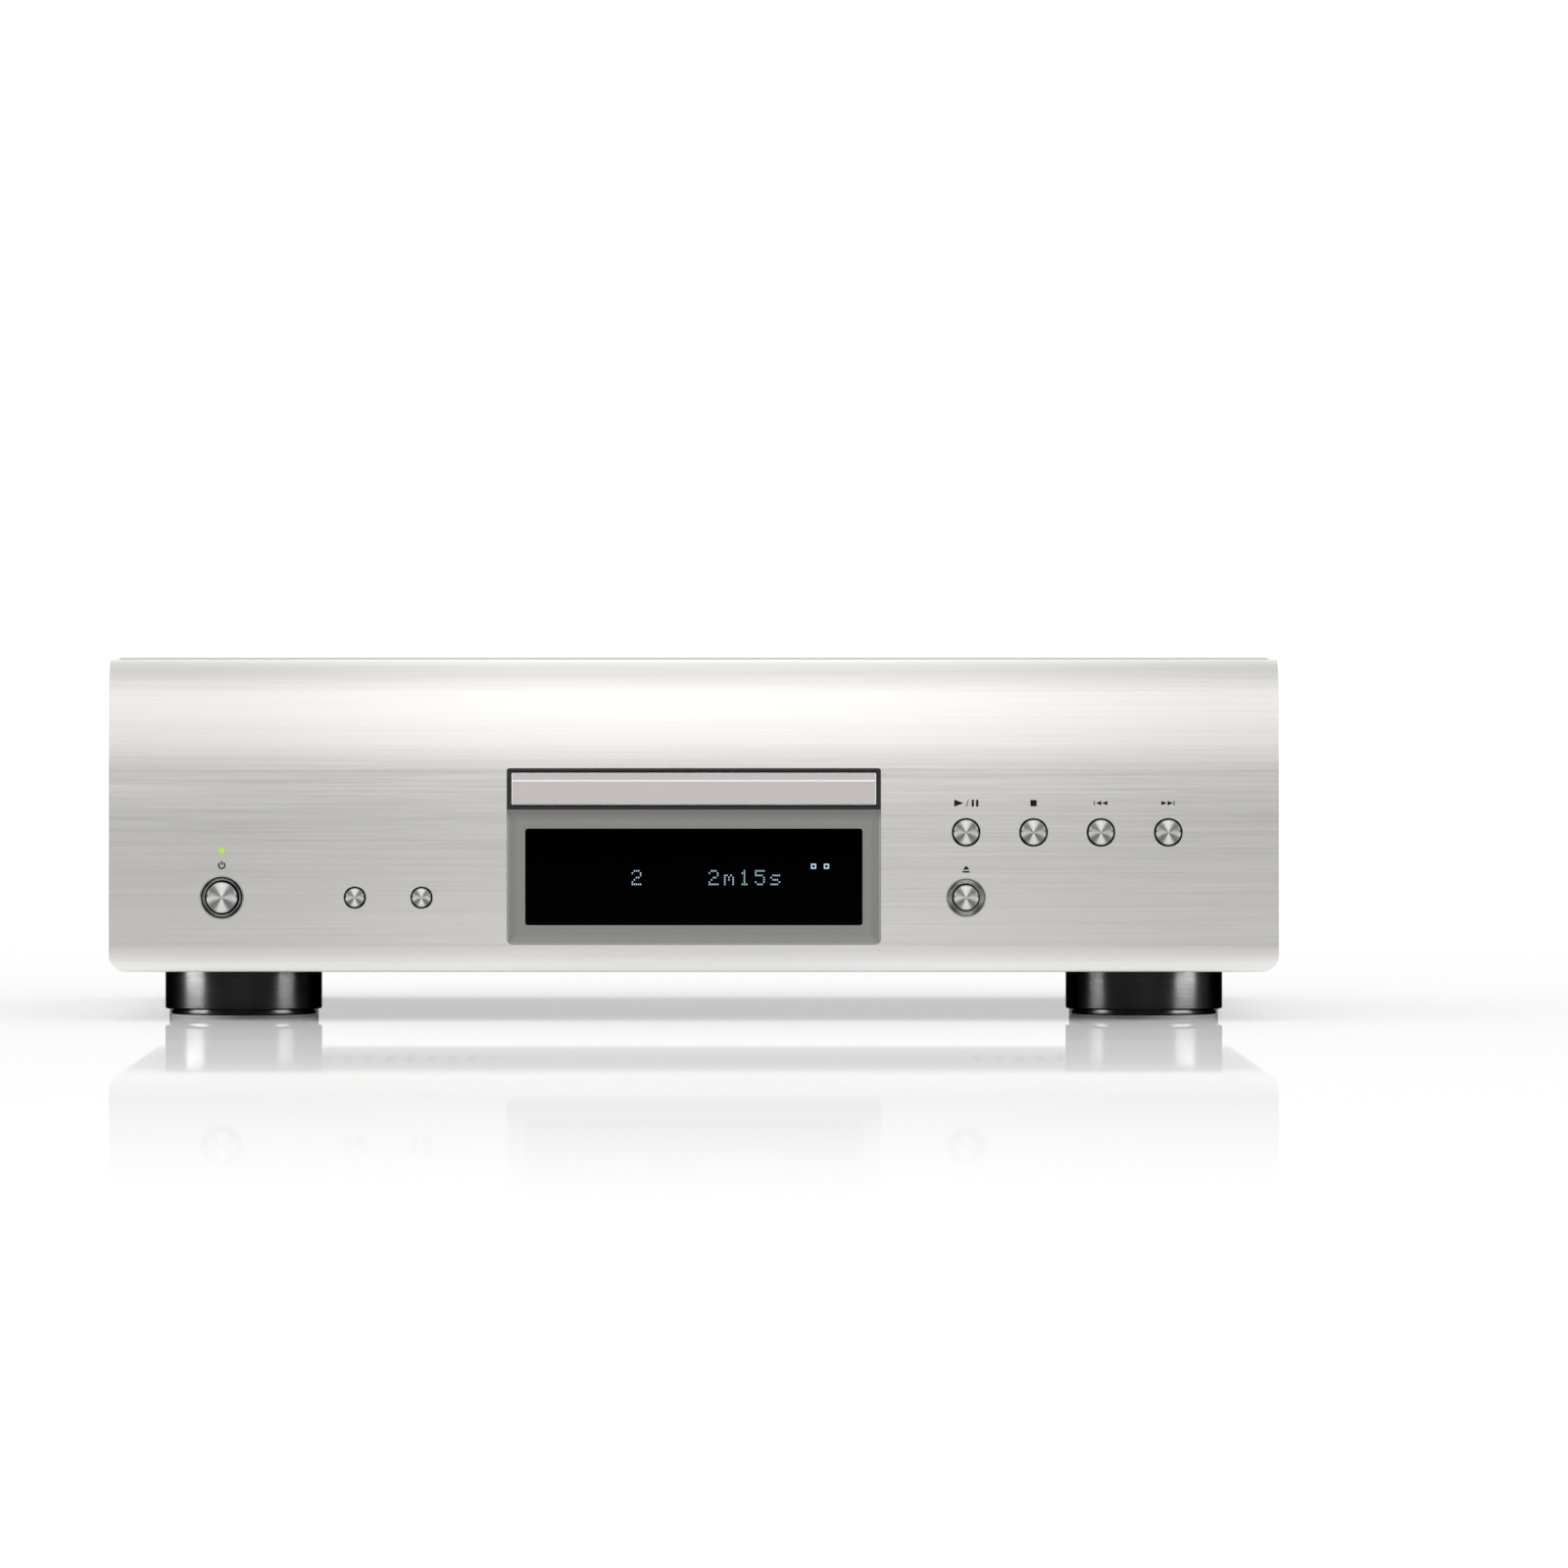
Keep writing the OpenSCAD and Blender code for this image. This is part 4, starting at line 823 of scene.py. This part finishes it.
GLYPHS = {
    "0": (".###.", "#...#", "#..##", "#.#.#", "##..#", "#...#", ".###."),
    "1": ("..#..", ".##..", "..#..", "..#..", "..#..", "..#..", ".###."),
    "2": (".###.", "#...#", "....#", "..##.", ".#...", "#....", "#####"),
    "5": ("#####", "#....", "####.", "....#", "....#", "#...#", ".###."),
    "m": (".....", ".....", "##.#.", "#.#.#", "#.#.#", "#...#", "#...#"),
    "s": (".....", ".....", ".####", "#....", ".###.", "....#", "####."),
}


class PLAYER_OT_display(Maker, bpy.types.Operator):
    """Finish the display frame, window and tube, and light the characters"""

    bl_idname = "player.display"
    bl_label = "Display"

    def make(self, scene):
        show = scene.player_display
        low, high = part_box("display_frame")
        # Painted highlight along the frame's sides and bottom, and painted shadow along its top under the tray
        # surround.
        lip = (high.x - 0.5 * MM, low.z + 0.5 * MM)
        dress("display_frame", painted_metal("bezel_grey", scene.player_cabinet.bezel, rough=0.36, flake=0.9,
                                             scale=2600.0, relief=0.00002, shadow=(0.0738, 0.0782), lip=lip))
        dress("display_window", glossy("window_black", (0.0, 0.0, 0.0), 0.05, 0.01))
        dress("display_tube", glossy("tube_glass", (0.010, 0.012, 0.013), 0.12))
        dress("power_lamp", glowing("lamp_green", show.lamp, 0.8))
        lit = glowing("lit_dots", show.lit, show.glow)
        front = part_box("display_window")[0].y
        lines = (("track_number", show.track, show.track_x), ("playing_time", show.time, show.time_x))
        for name, text, x in lines:
            mesh = mesh_from(name, lambda bm: self.characters(bm, text, x, front, show))
            piece(name, mesh, lit, "cabinet")
        mesh = mesh_from("mode_marks", lambda bm: self.marks(bm, front))
        piece("mode_marks", mesh, lit, "cabinet")

    def characters(self, bm, text, left, front, show):
        """One small lit block for each dot of each character."""
        wide, high = show.pitch_x * 0.29, show.pitch_z * 0.29
        for place, character in enumerate(text):
            for row, dots in enumerate(GLYPHS[character]):
                for column, dot in enumerate(dots):
                    x = left + place * show.character + (column + 0.5) * show.pitch_x
                    z = show.base + (6 - row) * show.pitch_z
                    if dot == "#":
                        self.block(bm, (x - wide, z - high), (x + wide, z + high), front)

    def block(self, bm, low, high, front):
        """A lit block set in the window's face, between two (x, z) corners."""
        add_box(bm, (low[0], front - 0.01 * MM, low[1]), (high[0], front + 0.03 * MM, high[1]))

    def marks(self, bm, front):
        """Two small lit squares with dark middles, right of the time."""
        outer, inner, z = 0.95 * MM, 0.5 * MM, 57.7 * MM
        for x in (44.4 * MM, 49.2 * MM):
            self.block(bm, (x - outer, z - outer), (x - inner, z + outer), front)
            self.block(bm, (x + inner, z - outer), (x + outer, z + outer), front)
            self.block(bm, (x - inner, z + inner), (x + inner, z + outer), front)
            self.block(bm, (x - inner, z - outer), (x + inner, z - inner), front)


class PLAYER_OT_tray(Maker, bpy.types.Operator):
    """Finish the tray, its door and the black surround"""

    bl_idname = "player.tray"
    bl_label = "Disc tray"

    def make(self, scene):
        dress("tray_surround", moulded_plastic("surround_black", (0.004, 0.004, 0.004), rough=0.28))
        dress("disc_tray", moulded_plastic("tray_black", (0.014, 0.014, 0.015), rough=0.45, scale=1500.0))
        # The door's sloping edges and two ends get painted highlights.
        half_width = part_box("tray_door")[1].x - 0.3 * MM
        dress("tray_door", blasted_metal("door_silver", (0.65, 0.612, 0.602), half_width))


class PLAYER_OT_loader(Maker, bpy.types.Operator):
    """Finish the disc loader, traverse unit and clamp"""

    bl_idname = "player.loader"
    bl_label = "Disc loader"

    def make(self, scene):
        black = moulded_plastic("loader_black", (0.016, 0.016, 0.018), rough=0.5, scale=1200.0)
        acetal = moulded_plastic("acetal_white", (0.78, 0.76, 0.70), rough=0.35, scale=3000.0)
        steel = polished_metal("motor_can", (0.60, 0.60, 0.59), 0.24)
        finishes = {
            black: ("loader_frame", "traverse_frame", "pickup"),
            acetal: ("drive_gear", "pulley_gear", "motor_pulley", "cam_slider", "sled_gear", "clamp_puck"),
            steel: ("loading_motor", "spindle_motor", "sled_motor"),
            polished_metal("rod_ground", (0.75, 0.75, 0.75), 0.08): ("guide_rods",),
            polished_metal("pinion_brass", (0.72, 0.52, 0.22), 0.22): ("sled_pinion",),
            rubber("belt_black", (0.012, 0.012, 0.012)): ("drive_belt",),
            turned_metal("turntable_dark", (0.10, 0.10, 0.11), rough=0.3): ("turntable",),
            glossy("lens_blue", (0.10, 0.16, 0.34), 0.03): ("pickup_lens",),
            zinc_sheet("bridge_plated", (0.58, 0.585, 0.58)): ("clamp_bridge",),
        }
        for finish, nodes in finishes.items():
            for node in nodes:
                dress(node, finish)


class PLAYER_OT_electronics(Maker, bpy.types.Operator):
    """Finish the boards, transformer, capacitors and cables, and add the small parts"""

    bl_idname = "player.electronics"
    bl_label = "Electronics"

    def make(self, scene):
        dress("transformer", laminations("core_varnished", (0.16, 0.13, 0.10)))
        dress("power_board", board_green("power_mask", (0.018, 0.10, 0.045)))
        main = board_green("main_mask", (0.014, 0.085, 0.040))
        for node in ("main_boards", "front_boards"):
            dress(node, main)
        dress("capacitors", moulded_plastic("sleeve_blue", (0.02, 0.035, 0.09), rough=0.25))
        dress("ribbon_cables", moulded_plastic("cable_white", (0.70, 0.68, 0.62), rough=0.4))
        dress("tact_switches", moulded_plastic("switch_black", (0.02, 0.02, 0.02), rough=0.4))
        self.resistors("main_boards", 70, 5)

    def resistors(self, node, count, seed):
        """Small parts at random places on the flat boards."""
        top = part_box("bottom_chassis")[0].z + 10.8 * MM
        pick = random.Random(seed)

        def build(bm):
            for _ in range(count):
                x, y = pick.uniform(98, 200) * MM, pick.uniform(-60, 40) * MM
                wide, deep = pick.choice(((6, 2.2), (3.2, 1.6), (2.2, 6)))
                add_box(bm, (x, y, top), (x + wide * MM, y + deep * MM, top + 1.8 * MM), 0.3 * MM)

        body = moulded_plastic("part_body", (0.25, 0.20, 0.13), rough=0.4)
        piece(node + "_small_parts", mesh_from(node + "_small_parts", build), body, "cabinet")


class PLAYER_OT_sockets(Maker, bpy.types.Operator):
    """Finish the sockets on the rear panel"""

    bl_idname = "player.sockets"
    bl_label = "Rear sockets"

    def make(self, scene):
        dress("phono_shells", polished_metal("gold_plate", (0.86, 0.62, 0.26), 0.14))
        dress("phono_insulators", moulded_plastic("insulator_red", (0.42, 0.02, 0.015), rough=0.3))
        black = moulded_plastic("socket_black", (0.010, 0.010, 0.010), rough=0.36)
        for node in ("socket_block", "optical_flap", "ac_inlet"):
            dress(node, black)


class PLAYER_OT_studio(Maker, bpy.types.Operator):
    """Set up the pale floor, the soft lights and the camera"""

    bl_idname = "player.studio"
    bl_label = "Studio"

    def make(self, scene):
        studio = scene.player_studio
        scene.view_settings.view_transform = "Standard"
        self.room(scene, studio)
        self.floor(studio)
        feet = bpy.data.collections.new("lit_by_strips")
        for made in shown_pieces():
            if made.name.startswith("foot_"):
                feet.objects.link(made)
        reach, foot_x, foot_y, height = 1.1, 0.17, -0.1, 0.14
        for side, azimuth, power in ((-1, 74, studio.left_strip), (1, 61, studio.right_strip)):
            turn = math.radians(azimuth)
            place = (side * (foot_x + reach * math.sin(turn)), foot_y - reach * math.cos(turn), height)
            strip = self.area(f"strip_{side}", place, (math.pi / 2, 0, side * turn), (0.62, 0.30), power)
            strip.light_linking.receiver_collection = feet
        self.camera(scene, studio)

    def room(self, scene, studio):
        """Brightness by direction: Z is the sine of the elevation, and -Y is the camera's side."""
        world = bpy.data.worlds.new("studio_room")
        world.use_nodes = True
        scene.world = world
        f = Finish("studio_room", world.node_tree)
        x, y, z = f.parts(f.place("Generated"))
        heights = [(0.0, 0.18), (0.015, 0.25), (0.035, 0.56), (0.06, 0.73), (0.10, 0.84), (0.15, 0.92),
                   (0.20, 0.97), (0.25, 0.98), (0.33, 0.93), (0.61, 0.85), (0.84, 0.78), (1.0, 0.72)]
        sky = f.node("ValToRGB", {"stops": heights}, [z]) * studio.front_level
        low = 1 - abs(z).between(0.08, 0.34)
        side = abs(x).between(0.06, 0.34)
        centre = 1 - 0.17 * abs(x + 0.005).between(0.018, 0.052)
        wide = 1 + 0.12 * abs(x).between(0.2, 0.6)
        room = f.mix(low * side, sky * centre * wide, (studio.side_level,) * 3)
        backdrop = y.between(0.0, 0.35) * (x + 0.32).between(0.0, 0.16) * (1 - z.between(0.2, 0.6))
        light = f.mix(backdrop, room, (studio.back_level,) * 3)
        shader = f.node("Background", None, {"Color": light, "Strength": 1.0})
        f.node("OutputWorld", None, {"Surface": shader})

    def floor(self, studio):
        """A white floor whose sheen fades towards the camera."""
        mesh = mesh_from("floor", lambda bm: bmesh.ops.create_grid(bm, x_segments=1, y_segments=1, size=30.0))
        made = bpy.data.objects.new("floor", mesh)
        bpy.context.scene.collection.objects.link(made)
        f = Finish("floor_pale")
        reach = 1.6
        nearness = f.parts(f.place())[1] / -reach
        fading = [(0.0, 0.9), (0.20, 0.9), (0.25, 0.82), (0.30, 0.82), (0.36, 0.74), (0.43, 0.54), (0.59, 0.44),
                  (0.86, 0.12), (1.0, 0.0)]
        sheen = f.node("ValToRGB", {"stops": fading}, [nearness])
        cloud = f.noise(0.7, 2.0)
        near = f.mix(cloud, shade(studio.floor, 0.995), studio.floor)
        base = f.mix(nearness.between(1.7, 1.9), near, shade(studio.floor, 0.3))
        matte = f.node("BsdfDiffuse", None, {"Color": base})
        gloss = f.node("BsdfPrincipled", None, {"Base Color": base, "Roughness": 0.02, "IOR": 1.015})
        mixed = f.node("MixShader", None, [sheen, matte, gloss])
        glow = f.node("Emission", None, {"Color": studio.floor, "Strength": studio.floor_glow})
        f.node("OutputMaterial", None, {"Surface": f.node("AddShader", None, [mixed, glow])})
        mesh.materials.append(f.material)
        made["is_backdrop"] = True

    def area(self, name, place, turn, size, power):
        light = bpy.data.lights.new(name, "AREA")
        light.shape = "RECTANGLE"
        light.size, light.size_y = size
        light.energy = power
        made = bpy.data.objects.new(name, light)
        made.location, made.rotation_euler = place, turn
        bpy.context.scene.collection.objects.link(made)
        return made

    def camera(self, scene, studio):
        data = bpy.data.cameras.new("camera")
        data.sensor_width, data.lens = 36.0, studio.lens
        data.shift_x, data.shift_y = studio.shift_x, studio.shift_y
        data.clip_start, data.clip_end = 0.1, 100.0
        made = bpy.data.objects.new("camera", data)
        made.location = (0, FACE_Y - studio.distance, studio.eye)
        made.rotation_euler = (math.pi / 2, 0, 0)
        scene.collection.objects.link(made)
        scene.camera = made


STEPS = (PLAYER_OT_front_panel, PLAYER_OT_cabinet, PLAYER_OT_feet, PLAYER_OT_buttons, PLAYER_OT_symbols,
         PLAYER_OT_display, PLAYER_OT_tray, PLAYER_OT_loader, PLAYER_OT_electronics, PLAYER_OT_sockets,
         PLAYER_OT_studio)


class PLAYER_PT_panel(bpy.types.Panel):
    """The sidebar panel, with the settings and one button for each step."""

    bl_idname = "PLAYER_PT_panel"
    bl_label = "Disc player"
    bl_space_type = "VIEW_3D"
    bl_region_type = "UI"
    bl_category = "Disc player"

    def draw(self, context):
        for step in STEPS:
            self.layout.operator(step.bl_idname)
        for name in SETTINGS:
            settings = getattr(context.scene, name)
            box = self.layout.box()
            for prop in settings.__annotations__:
                box.prop(settings, prop)


CLASSES = (*SETTINGS.values(), *STEPS, PLAYER_PT_panel)


def register():
    for cls in CLASSES:
        bpy.utils.register_class(cls)
    for name, group in SETTINGS.items():
        setattr(bpy.types.Scene, name, PointerProperty(type=group))


def unregister():
    for name in SETTINGS:
        delattr(bpy.types.Scene, name)
    for cls in reversed(CLASSES):
        bpy.utils.unregister_class(cls)


def main():
    """Builds everything in order."""
    register()
    for step in STEPS:
        group, name = step.bl_idname.split(".")
        getattr(getattr(bpy.ops, group), name)()
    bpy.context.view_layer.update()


if __name__ == "__main__":
    main()
